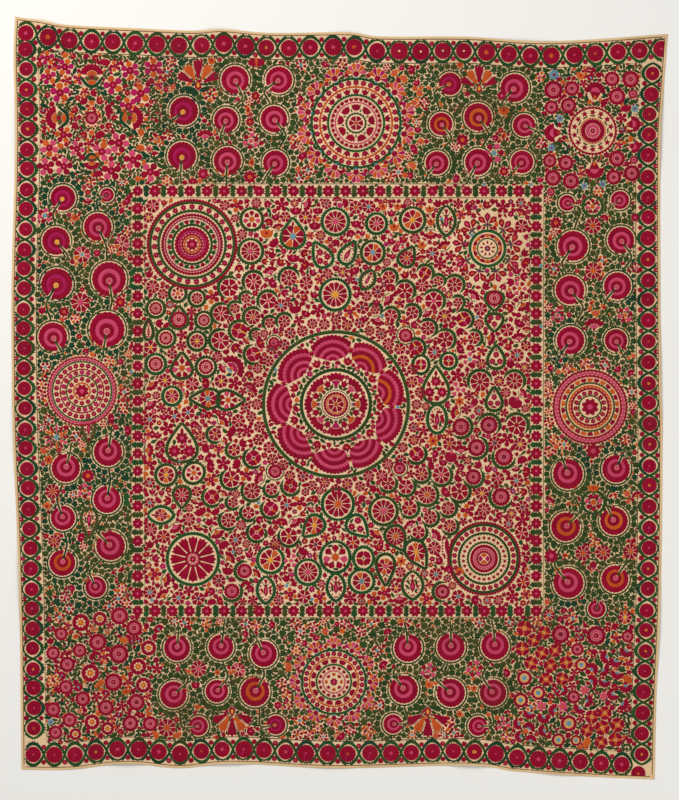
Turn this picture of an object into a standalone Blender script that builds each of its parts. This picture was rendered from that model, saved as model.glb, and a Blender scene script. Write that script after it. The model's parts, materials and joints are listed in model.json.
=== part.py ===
# Suzani embroidered textile, laid face up on a surface: four loom-width lengths of ground cloth joined by
# straight seams, with a narrow edging sewn round the outside. Units are metres. +Y runs towards the top of
# the design and +Z is up from its face. The origin is on the surface, under the middle of the cloth.

import math

import bmesh
import bpy

# Sizes of the pieces
PANEL_THICKNESS = 0.0020     # cotton ground with its couched silk
EDGING_THICKNESS = 0.0026    # tape folded over the raw edge
EDGING_WIDTH = 0.0080
PIECE_GAP = 0.0003           # between pieces that are sewn edge to edge
PANEL_INSET = EDGING_WIDTH + PIECE_GAP

# Corners of the whole cloth, as x and y
TOP_LEFT = (-1.126, 1.323)
TOP_RIGHT = (1.1387, 1.263)
BOTTOM_RIGHT = (1.093, -1.323)
BOTTOM_LEFT = (-1.104, -1.289)

# The top and bottom edges, left to right, as x and y
TOP_EDGE = [TOP_LEFT, (-1.036, 1.310), (-0.967, 1.296), (-0.689, 1.282), (-0.498, 1.274), (-0.412, 1.279),
            (-0.242, 1.267), (0.032, 1.268), (0.130, 1.255), (0.449, 1.253), (0.661, 1.238), (0.855, 1.243),
            TOP_RIGHT]
BOTTOM_EDGE = [BOTTOM_LEFT, (-0.932, -1.289), (-0.741, -1.268), (-0.557, -1.284), (-0.387, -1.268),
               (-0.113, -1.281), (0.036, -1.284), (0.438, -1.274), (0.522, -1.280), (0.598, -1.294),
               (0.883, -1.314), BOTTOM_RIGHT]

# The left and right edges, top to bottom, as x and y
LEFT_EDGE = [TOP_LEFT, (-1.131, 1.194), (-1.125, 0.895), (-1.136, 0.496), (-1.1388, 0.319), (-1.134, -0.094),
             (-1.113, -0.628), (-1.106, -1.069), BOTTOM_LEFT]
RIGHT_EDGE = [TOP_RIGHT, (1.123, 1.055), (1.113, 0.913), (1.115, 0.052), (1.120, -0.111), (1.115, -0.624),
              (1.098, -1.069), BOTTOM_RIGHT]

# The three seams between the panels, as x at the top and x at the bottom
SEAMS = [(-0.426, -0.422), (0.098, 0.098), (0.536, 0.539)]

# Ripples where the cloth's edges lift: the edge, the place along it, half the ripple's width, its height,
# and how far it reaches in from the edge
RIPPLES = [
    ("bottom", -0.741, 0.095, 0.010, 0.22),
    ("bottom", -0.387, 0.115, 0.009, 0.20),
    ("bottom", -0.040, 0.120, 0.004, 0.14),
    ("bottom", 0.450, 0.100, 0.012, 0.24),
    ("bottom", 0.760, 0.110, 0.005, 0.16),
    ("top", -1.010, 0.080, 0.009, 0.15),
    ("top", -0.420, 0.110, 0.008, 0.15),
    ("top", 0.035, 0.100, 0.007, 0.13),
    ("top", 0.640, 0.150, 0.008, 0.17),
    ("left", 0.900, 0.210, 0.007, 0.12),
    ("left", -0.120, 0.240, 0.005, 0.12),
    ("left", -0.640, 0.220, 0.007, 0.14),
    ("right", 0.920, 0.200, 0.008, 0.13),
    ("right", 0.060, 0.260, 0.005, 0.12),
    ("right", -0.800, 0.220, 0.006, 0.13),
]

# Facets: the widest column, the rows near the top and bottom edges by their distance in, and the tallest
# row in the flat middle
COLUMN_STEP = 0.034
EDGE_ROWS = [0.0, 0.024, 0.050, 0.079, 0.112, 0.152, 0.205]
MIDDLE_ROW_STEP = 0.140
SETTLING_PASSES = 5          # rounds in which a grid point's x and y follow each other

GROUND_COLOURS = [(0.72, 0.53, 0.30), (0.74, 0.55, 0.31), (0.71, 0.52, 0.28), (0.70, 0.51, 0.28)]
EDGING_COLOUR = (0.66, 0.46, 0.24)
CLOTH_ROUGHNESS = 0.9
COLLECTION_NAME = "suzani"


def smooth_value(rows, along):
    """Read a smooth curve through rows of (along, across) at one place along it."""
    places = [row[0] for row in rows]
    values = [row[1] for row in rows]
    last = len(rows) - 1

    def slope(index):
        before, after = max(index - 1, 0), min(index + 1, last)
        return (values[after] - values[before]) / (places[after] - places[before])

    start = 0
    while start < last - 1 and places[start + 1] < along:
        start += 1
    span = places[start + 1] - places[start]
    t = min(max((along - places[start]) / span, 0.0), 1.0)
    t2, t3 = t * t, t * t * t
    return ((2 * t3 - 3 * t2 + 1) * values[start] + (t3 - 2 * t2 + t) * span * slope(start)
            + (3 * t2 - 2 * t3) * values[start + 1] + (t3 - t2) * span * slope(start + 1))


def side_rows(edge):
    """Turn a side edge's rows into (y, x), bottom to top, so that smooth_value can read it."""
    return [(y, x) for x, y in reversed(edge)]


LEFT_ROWS = side_rows(LEFT_EDGE)
RIGHT_ROWS = side_rows(RIGHT_EDGE)


def top_y(x):
    return smooth_value(TOP_EDGE, x)


def bottom_y(x):
    return smooth_value(BOTTOM_EDGE, x)


def left_x(y):
    return smooth_value(LEFT_ROWS, y)


def right_x(y):
    return smooth_value(RIGHT_ROWS, y)


def seam_x(seam, y):
    x_top, x_bottom = seam
    return x_bottom + (x_top - x_bottom) * (y - BOTTOM_RIGHT[1]) / (TOP_LEFT[1] - BOTTOM_RIGHT[1])


def lift(x, y):
    """Height of the cloth's underside over the surface: nothing but for the ripples at the edges."""
    height = 0.0
    for edge, along, half_width, peak, reach in RIPPLES:
        if edge in ("top", "bottom"):
            offset = x - along
            depth = top_y(x) - y if edge == "top" else y - bottom_y(x)
        else:
            offset = y - along
            depth = x - left_x(y) if edge == "left" else right_x(y) - x
        if abs(offset) < half_width and depth < reach:
            crest = math.cos(math.pi / 2 * offset / half_width) ** 2
            fade = 0.5 + 0.5 * math.cos(math.pi * max(depth, 0.0) / reach)
            height += peak * crest * fade
    return height


def row_fractions():
    """Heights of the grid's rows, as fractions of the way up the cloth."""
    tall = top_y(0.0) - bottom_y(0.0) - 2 * PANEL_INSET
    near = [row / tall for row in EDGE_ROWS]
    count = math.ceil((1 - 2 * near[-1]) * tall / MIDDLE_ROW_STEP)
    middle = [near[-1] + (1 - 2 * near[-1]) * i / count for i in range(1, count)]
    return near + middle + [1 - row for row in reversed(near)]


def panel_sides():
    """Each panel's left and right side, as two functions of y."""
    def seam_side(seam, shift):
        return lambda y: seam_x(seam, y) + shift

    sides = [lambda y: left_x(y) + PANEL_INSET]
    for seam in SEAMS:
        sides += [seam_side(seam, -PIECE_GAP / 2), seam_side(seam, PIECE_GAP / 2)]
    sides.append(lambda y: right_x(y) - PANEL_INSET)
    return list(zip(sides[0::2], sides[1::2]))


def panel_point(left, right, across, up):
    """Place at one fraction across a panel and one up it. Its x depends on y at the side edges, and its y
    on x at the top and bottom, so the two are worked out in turn."""
    y = BOTTOM_RIGHT[1] + (TOP_LEFT[1] - BOTTOM_RIGHT[1]) * up
    for _ in range(SETTLING_PASSES):
        x = left(y) + (right(y) - left(y)) * across
        low, high = bottom_y(x) + PANEL_INSET, top_y(x) - PANEL_INSET
        y = low + (high - low) * up
    return x, y


def panel_grid(left, right):
    """Rows of points, bottom to top, that cover one panel."""
    width = right(0.0) - left(0.0)
    columns = math.ceil(width / COLUMN_STEP)
    return [[panel_point(left, right, i / columns, up) for i in range(columns + 1)] for up in row_fractions()]


def long_edging_grid(xs, edge_y, inward):
    """Two rows of points for the edging along the top or the bottom, from corner to corner."""
    outer = [(x, edge_y(x)) for x in xs]
    inner = [(x, y + inward * EDGING_WIDTH) for x, y in outer]
    inner[0] = (left_x(inner[0][1]), inner[0][1])
    inner[-1] = (right_x(inner[-1][1]), inner[-1][1])
    return [outer, inner] if inward > 0 else [inner, outer]


def side_edging_grid(ys, edge_x, inward):
    """Rows of two points for the edging down one side, between the top and bottom edgings."""
    rows = []
    for y in ys:
        outer, inner = (edge_x(y), y), (edge_x(y) + inward * EDGING_WIDTH, y)
        rows.append([outer, inner] if inward > 0 else [inner, outer])
    for row, edge_y, sign in ((rows[0], bottom_y, 1), (rows[-1], top_y, -1)):
        row[:] = [(x, edge_y(x) + sign * PANEL_INSET) for x, _ in row]
    return rows


def cloth_mesh(name, grid, thickness):
    """A sheet over the grid's points: a plane's faces moved to them, then thickened upwards."""
    rows, columns = len(grid), len(grid[0])
    shape = bmesh.new()
    bmesh.ops.create_grid(shape, x_segments=columns - 1, y_segments=rows - 1, size=0.5)
    shape.verts.ensure_lookup_table()
    ordered = sorted(shape.verts, key=lambda v: (round(v.co.y, 5), v.co.x))
    for index, vert in enumerate(ordered):
        x, y = grid[index // columns][index % columns]
        vert.co = (x, y, lift(x, y))
    raised = bmesh.ops.extrude_face_region(shape, geom=shape.faces[:], use_keep_orig=True)
    for element in raised["geom"]:
        if isinstance(element, bmesh.types.BMVert):
            element.co.z += thickness
    bmesh.ops.recalc_face_normals(shape, faces=shape.faces)
    mesh = bpy.data.meshes.new(name)
    shape.to_mesh(mesh)
    shape.free()
    return mesh


def cloth_material(name, colour):
    material = bpy.data.materials.new(name)
    material.use_nodes = True
    shader = material.node_tree.nodes["Principled BSDF"]
    shader.inputs["Base Color"].default_value = (*colour, 1.0)
    shader.inputs["Roughness"].default_value = CLOTH_ROUGHNESS
    shader.inputs["Metallic"].default_value = 0.0
    return material


def add_cloth(name, grid, thickness, colour, parent, collection):
    mesh = cloth_mesh(name, grid, thickness)
    mesh.materials.append(cloth_material(name, colour))
    piece = bpy.data.objects.new(name, mesh)
    piece.parent = parent
    collection.objects.link(piece)
    return piece


def build():
    for old in list(bpy.data.objects):
        bpy.data.objects.remove(old, do_unlink=True)
    collection = bpy.data.collections.new(COLLECTION_NAME)
    bpy.context.scene.collection.children.link(collection)
    middle = bpy.data.objects.new("middle_of_cloth", None)
    collection.objects.link(middle)

    grids = [panel_grid(left, right) for left, right in panel_sides()]
    for number, (grid, colour) in enumerate(zip(grids, GROUND_COLOURS), start=1):
        add_cloth("panel_%d" % number, grid, PANEL_THICKNESS, colour, middle, collection)

    top_xs = [TOP_LEFT[0]] + [x for grid in grids for x, _ in grid[-1]] + [TOP_RIGHT[0]]
    bottom_xs = [BOTTOM_LEFT[0]] + [x for grid in grids for x, _ in grid[0]] + [BOTTOM_RIGHT[0]]
    left_ys = [row[0][1] for row in grids[0]]
    right_ys = [row[-1][1] for row in grids[-1]]
    edgings = [
        ("edging_top", long_edging_grid(top_xs, top_y, -1)),
        ("edging_bottom", long_edging_grid(bottom_xs, bottom_y, 1)),
        ("edging_left", side_edging_grid(left_ys, left_x, 1)),
        ("edging_right", side_edging_grid(right_ys, right_x, -1)),
    ]
    for name, grid in edgings:
        add_cloth(name, grid, EDGING_THICKNESS, EDGING_COLOUR, middle, collection)


build()
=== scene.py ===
# Suzani laid face up: four joined cotton panels, silk flowers in couching and chain stitch, and a narrow
# edging. The cloth's outline is in metres, as in the model. The embroidery's tables are in centimetres from
# the middle of the cloth, +y towards the top of the design, and an aim is in degrees: 0 right, 90 up.

import json
import math
import random

import bpy
import numpy as np
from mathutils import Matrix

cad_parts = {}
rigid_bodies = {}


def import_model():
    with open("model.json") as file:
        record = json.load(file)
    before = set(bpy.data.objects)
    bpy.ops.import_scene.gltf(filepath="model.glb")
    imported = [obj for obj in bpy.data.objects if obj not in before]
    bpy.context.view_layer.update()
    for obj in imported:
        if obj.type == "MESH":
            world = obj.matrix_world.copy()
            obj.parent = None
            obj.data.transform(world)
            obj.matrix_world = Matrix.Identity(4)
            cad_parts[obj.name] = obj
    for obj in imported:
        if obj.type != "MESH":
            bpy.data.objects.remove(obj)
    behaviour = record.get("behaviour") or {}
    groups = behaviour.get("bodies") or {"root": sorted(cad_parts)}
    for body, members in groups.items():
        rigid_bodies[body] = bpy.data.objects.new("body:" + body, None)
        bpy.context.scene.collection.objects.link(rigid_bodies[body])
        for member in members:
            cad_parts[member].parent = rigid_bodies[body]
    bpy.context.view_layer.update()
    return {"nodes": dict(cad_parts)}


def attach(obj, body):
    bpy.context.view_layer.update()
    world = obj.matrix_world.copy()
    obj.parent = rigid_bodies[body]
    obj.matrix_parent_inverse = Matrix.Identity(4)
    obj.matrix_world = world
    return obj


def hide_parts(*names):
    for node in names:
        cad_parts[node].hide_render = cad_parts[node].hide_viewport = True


cm = 0.01
mm = 0.001
fullTurn = 2 * math.pi

for old in list(bpy.data.objects):
    bpy.data.objects.remove(old, do_unlink=True)
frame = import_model()
print("suzani: frame loaded,", len(frame["nodes"]), "pieces")

# The cloth's outline, seams and ripples, as the model has them
clothShape = {
    "topEdge": [(-1.126, 1.323), (-1.036, 1.310), (-0.967, 1.296), (-0.689, 1.282), (-0.498, 1.274),
                (-0.412, 1.279), (-0.242, 1.267), (0.032, 1.268), (0.130, 1.255), (0.449, 1.253),
                (0.661, 1.238), (0.855, 1.243), (1.1387, 1.263)],
    "bottomEdge": [(-1.104, -1.289), (-0.932, -1.289), (-0.741, -1.268), (-0.557, -1.284), (-0.387, -1.268),
                   (-0.113, -1.281), (0.036, -1.284), (0.438, -1.274), (0.522, -1.280), (0.598, -1.294),
                   (0.883, -1.314), (1.093, -1.323)],
    "leftEdge": [(-1.126, 1.323), (-1.131, 1.194), (-1.125, 0.895), (-1.136, 0.496), (-1.1388, 0.319),
                 (-1.134, -0.094), (-1.113, -0.628), (-1.106, -1.069), (-1.104, -1.289)],
    "rightEdge": [(1.1387, 1.263), (1.123, 1.055), (1.113, 0.913), (1.115, 0.052), (1.120, -0.111),
                  (1.115, -0.624), (1.098, -1.069), (1.093, -1.323)],
    "seams": [(-0.426, -0.422), (0.098, 0.098), (0.536, 0.539)],   # x at the top, x at the bottom
    "seamTop": 1.323,
    "seamBottom": -1.323,
}
# Ripples: the edge, the place along it, half the width, the height, and the reach in from the edge
rippleRows = [
    ("bottom", -0.741, 0.095, 0.010, 0.22), ("bottom", -0.387, 0.115, 0.009, 0.20),
    ("bottom", -0.040, 0.120, 0.004, 0.14), ("bottom", 0.450, 0.100, 0.012, 0.24),
    ("bottom", 0.760, 0.110, 0.005, 0.16), ("top", -1.010, 0.080, 0.009, 0.15),
    ("top", -0.420, 0.110, 0.008, 0.15), ("top", 0.035, 0.100, 0.007, 0.13),
    ("top", 0.640, 0.150, 0.008, 0.17), ("left", 0.900, 0.210, 0.007, 0.12),
    ("left", -0.120, 0.240, 0.005, 0.12), ("left", -0.640, 0.220, 0.007, 0.14),
    ("right", 0.920, 0.200, 0.008, 0.13), ("right", 0.060, 0.260, 0.005, 0.12),
    ("right", -0.800, 0.220, 0.006, 0.13),
]


def smoothCurve(rows, along):
    table = np.array(rows, float)
    places, values = table[:, 0], table[:, 1]
    slopes = np.empty(len(rows))
    slopes[1:-1] = (values[2:] - values[:-2]) / (places[2:] - places[:-2])
    slopes[0] = (values[1] - values[0]) / (places[1] - places[0])
    slopes[-1] = (values[-1] - values[-2]) / (places[-1] - places[-2])
    along = np.asarray(along, float)
    start = np.clip(np.searchsorted(places, along) - 1, 0, len(rows) - 2)
    span = places[start + 1] - places[start]
    t = np.clip((along - places[start]) / span, 0.0, 1.0)
    t2, t3 = t * t, t * t * t
    return ((2 * t3 - 3 * t2 + 1) * values[start] + (t3 - 2 * t2 + t) * span * slopes[start]
            + (3 * t2 - 2 * t3) * values[start + 1] + (t3 - t2) * span * slopes[start + 1])


leftRows = [(y, x) for x, y in reversed(clothShape["leftEdge"])]
rightRows = [(y, x) for x, y in reversed(clothShape["rightEdge"])]


def topY(x):
    return smoothCurve(clothShape["topEdge"], x)


def bottomY(x):
    return smoothCurve(clothShape["bottomEdge"], x)


def leftX(y):
    return smoothCurve(leftRows, y)


def rightX(y):
    return smoothCurve(rightRows, y)


def seamX(number, y):
    xTop, xBottom = clothShape["seams"][number]
    tall = clothShape["seamTop"] - clothShape["seamBottom"]
    return xBottom + (xTop - xBottom) * (np.asarray(y, float) - clothShape["seamBottom"]) / tall


def edgeDepth(edge, x, y):
    if edge == "top":
        return topY(x) - y
    if edge == "bottom":
        return y - bottomY(x)
    if edge == "left":
        return x - leftX(y)
    return rightX(y) - x


def clothLift(x, y):
    height = np.zeros(len(x))
    for edge, along, halfWidth, peak, reach in rippleRows:
        offset = (x if edge in ("top", "bottom") else y) - along
        depth = np.clip(edgeDepth(edge, x, y), 0.0, None)
        inside = (np.abs(offset) < halfWidth) & (depth < reach)
        crest = np.cos(math.pi / 2 * offset / halfWidth) ** 2
        fade = 0.5 + 0.5 * np.cos(math.pi * depth / reach)
        height += np.where(inside, peak * crest * fade, 0.0)
    return height


# The ground cloth's make-up
groundCloth = {
    "thickness": 1.2 * mm,
    "inset": 8.3 * mm,          # from the cloth's edge to the panel's, under the edging
    "seamGap": 0.3 * mm,
    "weaveStep": 20 * mm,       # size of the sheet's facets
    "seamDip": 0.45 * mm,       # how far the cloth dips at a seam
    "seamDipWidth": 5 * mm,
    "pucker": 0.25 * mm,        # how far the silk draws the cloth up
}

# Silk lies in low rounded pads on the cloth
silkRelief = {
    "rim": 0.05 * mm,
    "shoulder": 0.50 * mm,
    "crown": 0.72 * mm,
    "slope": 0.9 * mm,          # how far in from its rim a pad reaches its height
}

# Silk dyes, as bytes of red, green and blue, and how much each has faded unevenly
# each deep colour serves both the uneven fading and the painted shade in the stitch grooves
silkDyes = {
    "crimson": {"colour": (156, 0, 42), "deep": (110, 0, 28), "uneven": 0.5},
    "magenta": {"colour": (176, 24, 84), "deep": (140, 8, 62), "uneven": 0.6},
    "pink": {"colour": (204, 74, 104), "deep": (178, 48, 84), "uneven": 0.6},
    "orange": {"colour": (204, 94, 32), "deep": (170, 58, 20), "uneven": 0.7},
    "gold": {"colour": (226, 160, 46), "deep": (198, 118, 30), "uneven": 0.6},
    "leaf": {"colour": (52, 74, 28), "deep": (30, 52, 22), "uneven": 0.8},
    "bottle": {"colour": (22, 66, 38), "deep": (12, 46, 30), "uneven": 0.7},
    "moss": {"colour": (72, 74, 28), "deep": (46, 54, 22), "uneven": 0.8},
    "vine": {"colour": (38, 82, 36), "deep": (22, 58, 28), "uneven": 0.8},
    "olive": {"colour": (98, 84, 34), "deep": (66, 58, 26), "uneven": 0.7},
    "blue": {"colour": (110, 150, 158), "deep": (70, 112, 130), "uneven": 0.6},
    "violet": {"colour": (104, 52, 82), "deep": (74, 30, 62), "uneven": 0.5},
    "umber": {"colour": (58, 38, 26), "deep": (38, 24, 18), "uneven": 0.4},
    "cream": {"colour": (228, 200, 146), "deep": (206, 172, 118), "uneven": 0.4},
}
zonedDyes = ("crimson", "leaf", "vine", "moss", "bottle", "pink")   # sewn as one piece in each zone
needle = {"zone": "border", "rng": random.Random(17)}
skeins = {}


def skeinOf(dye):
    name = dye + "_" + needle["zone"] if dye in zonedDyes else dye
    if name not in skeins:
        skeins[name] = {"dye": dye, "points": [], "stitch": [], "quads": [], "tris": [], "count": 0}
    return skeins[name]


def sew(dye, points, heights, across, along, quads, tris):
    skein = skeinOf(dye)
    tone = draw(-1.0, 1.0)
    skein["points"].append(np.column_stack((points, heights)))
    skein["stitch"].append(np.column_stack((across, along, np.full(len(points), tone))))
    if len(quads):
        skein["quads"].append(quads + skein["count"])
    if len(tris):
        skein["tris"].append(tris + skein["count"])
    skein["count"] += len(points)


# Where there is silk already, kept as a coarse map of the cloth so that nothing is sewn over
sewnMap = {"cell": 0.25, "left": -116.0, "low": -134.5, "rows": 1076, "columns": 928}
for grid in ("taken", "silk", "kept"):    # silk: where it really lies; kept: flowers whose own gaps stay bare
    sewnMap[grid] = np.zeros((sewnMap["rows"], sewnMap["columns"]), bool)
mapX = sewnMap["left"] + sewnMap["cell"] * (np.arange(sewnMap["columns"]) + 0.5)
mapY = sewnMap["low"] + sewnMap["cell"] * (np.arange(sewnMap["rows"]) + 0.5)


def mapWindow(x, y, r):
    cell = sewnMap["cell"]
    i0 = max(int((x - r - sewnMap["left"]) / cell), 0)
    i1 = min(int((x + r - sewnMap["left"]) / cell) + 1, sewnMap["columns"])
    j0 = max(int((y - r - sewnMap["low"]) / cell), 0)
    j1 = min(int((y + r - sewnMap["low"]) / cell) + 1, sewnMap["rows"])
    disc = (mapX[i0:i1][None, :] - x) ** 2 + (mapY[j0:j1][:, None] - y) ** 2 <= r * r
    return slice(j0, j1), slice(i0, i1), disc


def claim(x, y, r, grid=None):
    rows, columns, disc = mapWindow(x, y, r)
    taken = sewnMap["taken"] if grid is None else grid
    taken[rows, columns] |= disc


def keepBare(x, y, r):
    claim(x, y, r, sewnMap["kept"])


def isFree(x, y, r):
    rows, columns, disc = mapWindow(x, y, r)
    return not (sewnMap["taken"][rows, columns] & disc).any()


def markSilk(outline):
    cell = sewnMap["cell"] * cm
    px, py = outline[:, 0], outline[:, 1]
    i0, i1 = (int((v - sewnMap["left"] * cm) / cell) for v in (px.min(), px.max()))
    j0, j1 = (int((v - sewnMap["low"] * cm) / cell) for v in (py.min(), py.max()))
    gx, gy = mapX[i0:i1 + 1][None, :] * cm, mapY[j0:j1 + 1][:, None] * cm
    inside = np.zeros((gy.shape[0], gx.shape[1]), bool)
    for ax, ay, bx, by in zip(px, py, np.roll(px, -1), np.roll(py, -1)):
        if ay != by:
            inside ^= ((ay > gy) != (by > gy)) & (gx < (bx - ax) * (gy - ay) / (by - ay) + ax)
    sewnMap["silk"][j0:j1 + 1, i0:i1 + 1] |= inside


# Outlines of single shapes, one unit tall and pointing up, all counterclockwise
def leafShape(width, fullest=0.5, steps=4):
    t = np.linspace(0, 1, steps + 2)[1:-1]
    half = width / 2 * np.sin(math.pi * t ** (math.log(0.5) / math.log(fullest)))
    right = np.column_stack((half, t))
    left = np.column_stack((-half, t))[::-1]
    return np.vstack(([[0, 0]], right, [[0, 1]], left))


def mirrored(half):
    half = np.array(half, float)
    other = half[::-1].copy()
    other[:, 0] *= -1
    keep = np.abs(other[:, 0]) > 1e-9
    return np.vstack((half, other[keep]))


def roundShape(count, depth, teeth=False, steps=3):
    steps = 2 if teeth else steps
    angles = np.arange(count * steps) * fullTurn / (count * steps)
    wave = np.abs(np.sin(count * angles / 2))
    reach = 1 - depth * (wave if teeth else 1 - wave)
    return np.column_stack((np.cos(angles), np.sin(angles))) * reach[:, None]


def wedgeShape(count):
    half = math.pi / count * 0.95
    # radius, and share of the half angle
    rows = [(0.24, 0.5), (0.78, 0.98), (0.97, 0.78), (0.91, 0.36), (1.0, 0.0)]
    right = [(r * math.sin(half * share), r * math.cos(half * share)) for r, share in rows]
    return mirrored(right)


shapes = {
    "leaf": leafShape(0.54, 0.45, 3),
    "longLeaf": leafShape(0.30, 0.45, 3),
    "petal": leafShape(0.62, 0.64, 3),
    "widePetal": leafShape(0.94, 0.68, 4),
    "drop": leafShape(0.62, 0.38, 3),
    "ivy": mirrored([(0.07, -0.60), (0.08, -0.40), (0.42, -0.46), (0.44, -0.08), (0.54, 0.20), (0.28, 0.26),
                     (0.16, 0.52), (0.0, 0.44)]),
    "tulip": mirrored([(0.05, 0.0), (0.30, 0.10), (0.46, 0.40), (0.52, 0.88), (0.24, 0.64), (0.0, 1.0)]),
    "cup": mirrored([(0.12, 0.0), (0.46, 0.12), (0.62, 0.45), (0.66, 0.86), (0.40, 0.74), (0.20, 0.94),
                     (0.0, 0.80)]),
    "calyx": mirrored([(0.0, 0.0), (0.26, 0.10), (0.46, 0.46), (0.16, 0.30), (0.0, 0.42)]),
    "disc": roundShape(6, 0.03, steps=2),
    "bead": roundShape(10, 0.0, steps=1),
    "bud": mirrored([(0.0, 0.0), (0.30, 0.14), (0.44, 0.44), (0.34, 0.76), (0.12, 0.80), (0.0, 1.0)]),
}
for lobes in (5, 6, 8):
    shapes["star%d" % lobes] = roundShape(lobes, 0.50, teeth=True)
    shapes["rose%d" % lobes] = roundShape(lobes, 0.26)
for count in (4, 6, 7, 8, 9, 12):
    shapes["wedge%d" % count] = wedgeShape(count)

ringFaces = {}


def facesOf(n):
    if n not in ringFaces:
        i = np.arange(n)
        j = (i + 1) % n
        ringFaces[n] = (np.column_stack((i, j, j + n, i + n)),
                        np.column_stack((i + n, j + n, np.full(n, 2 * n))))
    return ringFaces[n]


def placed(outline, x, y, size, aim=90.0, wide=1.0):
    turn = math.radians(aim - 90)
    c, s = math.cos(turn), math.sin(turn)
    across, up = outline[:, 0] * size * wide, outline[:, 1] * size
    return np.column_stack((x + c * across - s * up, y + s * across + c * up)) * cm


def layPatch(dye, outline, aim=None, raised=0.0):
    centre = outline.mean(axis=0)
    spokes = outline - centre
    reach = np.hypot(spokes[:, 0], spokes[:, 1])
    shrink = np.clip(1 - silkRelief["slope"] / np.maximum(reach, 1e-6), 0.55, 0.95)
    points = np.vstack((outline, centre + spokes * shrink[:, None], centre))
    n = len(outline)
    markSilk(outline)
    if reach.max() < 0.0085:                           # small stitches are simple pads
        points = np.vstack((outline, centre))
        heights = np.append(np.full(n, silkRelief["rim"]), silkRelief["shoulder"])
        i = np.arange(n)
        sew(dye, points, heights + raised * mm, points[:, 0], points[:, 1], [],
            np.column_stack((i, (i + 1) % n, np.full(n, n))))
        return
    heights = np.full(2 * n + 1, silkRelief["shoulder"])
    heights[:n] = silkRelief["rim"]
    heights[2 * n] = silkRelief["crown"]
    grain = math.radians(draw(0, 180) if aim is None else aim)
    across = -math.sin(grain) * points[:, 0] + math.cos(grain) * points[:, 1]
    along = math.cos(grain) * points[:, 0] + math.sin(grain) * points[:, 1]
    quads, tris = facesOf(n)
    sew(dye, points, heights + raised * mm, across, along, quads, tris)


def lay(dye, shape, x, y, size, aim=90.0, wide=1.0, raised=0.0):
    layPatch(dye, placed(shapes[shape], x, y, size, aim, wide), aim, raised)


def padHeights(count, *parts):
    return np.repeat([silkRelief[part] for part in parts], count)


def layBand(dye, inner, outer, closed=True, raised=0.0):
    ends = (outer, outer[:1], inner[:1], inner[::-1]) if closed else (outer, inner[::-1])
    markSilk(np.vstack(ends))
    width = np.hypot(*(outer - inner).T)
    share = np.minimum(silkRelief["slope"] / np.maximum(width, 1e-6), 0.32)[:, None]
    points = np.vstack((outer, outer + (inner - outer) * share, inner + (outer - inner) * share, inner))
    m = len(outer)
    i = np.arange(m if closed else m - 1)
    j = (i + 1) % m
    quads = np.vstack([np.column_stack((i + k * m, j + k * m, j + (k + 1) * m, i + (k + 1) * m))
                       for k in range(3)])
    heights = padHeights(m, "rim", "crown", "crown", "rim")
    if not closed:
        for end in (0, m - 1):
            heights[end::m] = silkRelief["rim"]
    step = np.hypot(*np.diff(outer, axis=0, prepend=outer[:1]).T)
    across = np.concatenate((0 * width, width * share[:, 0], width * (1 - share[:, 0]), width))
    along = np.tile(np.cumsum(step), 4)
    sew(dye, points, heights + raised * mm, along, across, quads, [])


def rimPoints(x, y, reach, angles):
    return np.column_stack((x + reach * np.cos(angles), y + reach * np.sin(angles)))


def layRing(dye, x, y, outer, inner, lobes=0, innerLobes=0, depth=0.07, teeth=False, steps=3):
    count = max(lobes, innerLobes, 12) * (2 if teeth else steps)
    angles = np.arange(count) * fullTurn / count

    def edge(radius, edgeLobes):
        reach = radius + 0 * angles
        if edgeLobes:
            wave = np.abs(np.sin(edgeLobes * angles / 2))
            reach = radius * (1 - depth * (wave if teeth else 1 - wave))
        return rimPoints(x, y, reach, angles) * cm
    layBand(dye, edge(inner, innerLobes), edge(outer, lobes))


def smoothPath(points, steps=5):
    p = np.array(points, float)
    if len(p) == 2:
        return p[0] + (p[1] - p[0]) * np.linspace(0, 1, steps + 1)[:, None]
    before = np.vstack((2 * p[0] - p[1], p, 2 * p[-1] - p[-2]))
    made = []
    for k in range(len(p) - 1):
        a, b, c, d = before[k:k + 4]
        for t in np.arange(steps) / steps:
            made.append(0.5 * (2 * b + (c - a) * t + (2 * a - 5 * b + 4 * c - d) * t * t
                               + (3 * b - 3 * c + d - a) * t ** 3))
    return np.vstack((made, p[-1:]))


def lengthAlong(path):
    return np.concatenate(([0], np.cumsum(np.hypot(*np.diff(path, axis=0).T))))


def pathSides(path):
    run = np.gradient(path, axis=0)
    run /= np.maximum(np.hypot(run[:, 0], run[:, 1]), 1e-6)[:, None]
    return run, np.column_stack((-run[:, 1], run[:, 0]))


def layStem(dye, path, width, ends=(0.35, 0.35), raised=0.0, keep=True):
    path = np.asarray(path, float)
    side = pathSides(path)[1]
    m = len(path)
    t = np.linspace(0, 1, m)
    breadth = (np.interp(t, [0, 0.18, 0.82, 1], [ends[0], 1, 1, ends[1]]) * width)[:, None]
    points = np.vstack((path - side * breadth / 2, path, path + side * breadth / 2)) * cm
    markSilk(np.vstack((points[:m], points[2 * m:][::-1])))
    i = np.arange(m - 1)
    quads = np.vstack((np.column_stack((i, i + 1, i + 1 + m, i + m)),
                       np.column_stack((i + m, i + 1 + m, i + 1 + 2 * m, i + 2 * m))))
    heights = padHeights(m, "rim", "shoulder", "rim")
    along = np.tile(np.cumsum(np.hypot(*np.diff(path, axis=0, prepend=path[:1]).T)) * cm, 3)
    across = np.concatenate((-breadth, 0 * breadth, breadth))[:, 0] * cm / 2
    sew(dye, points, heights + raised * mm, across, along, quads, [])
    if keep:
        for px, py in path[::2]:
            claim(px, py, float(np.max(width)) / 2 + 0.12)


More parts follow.
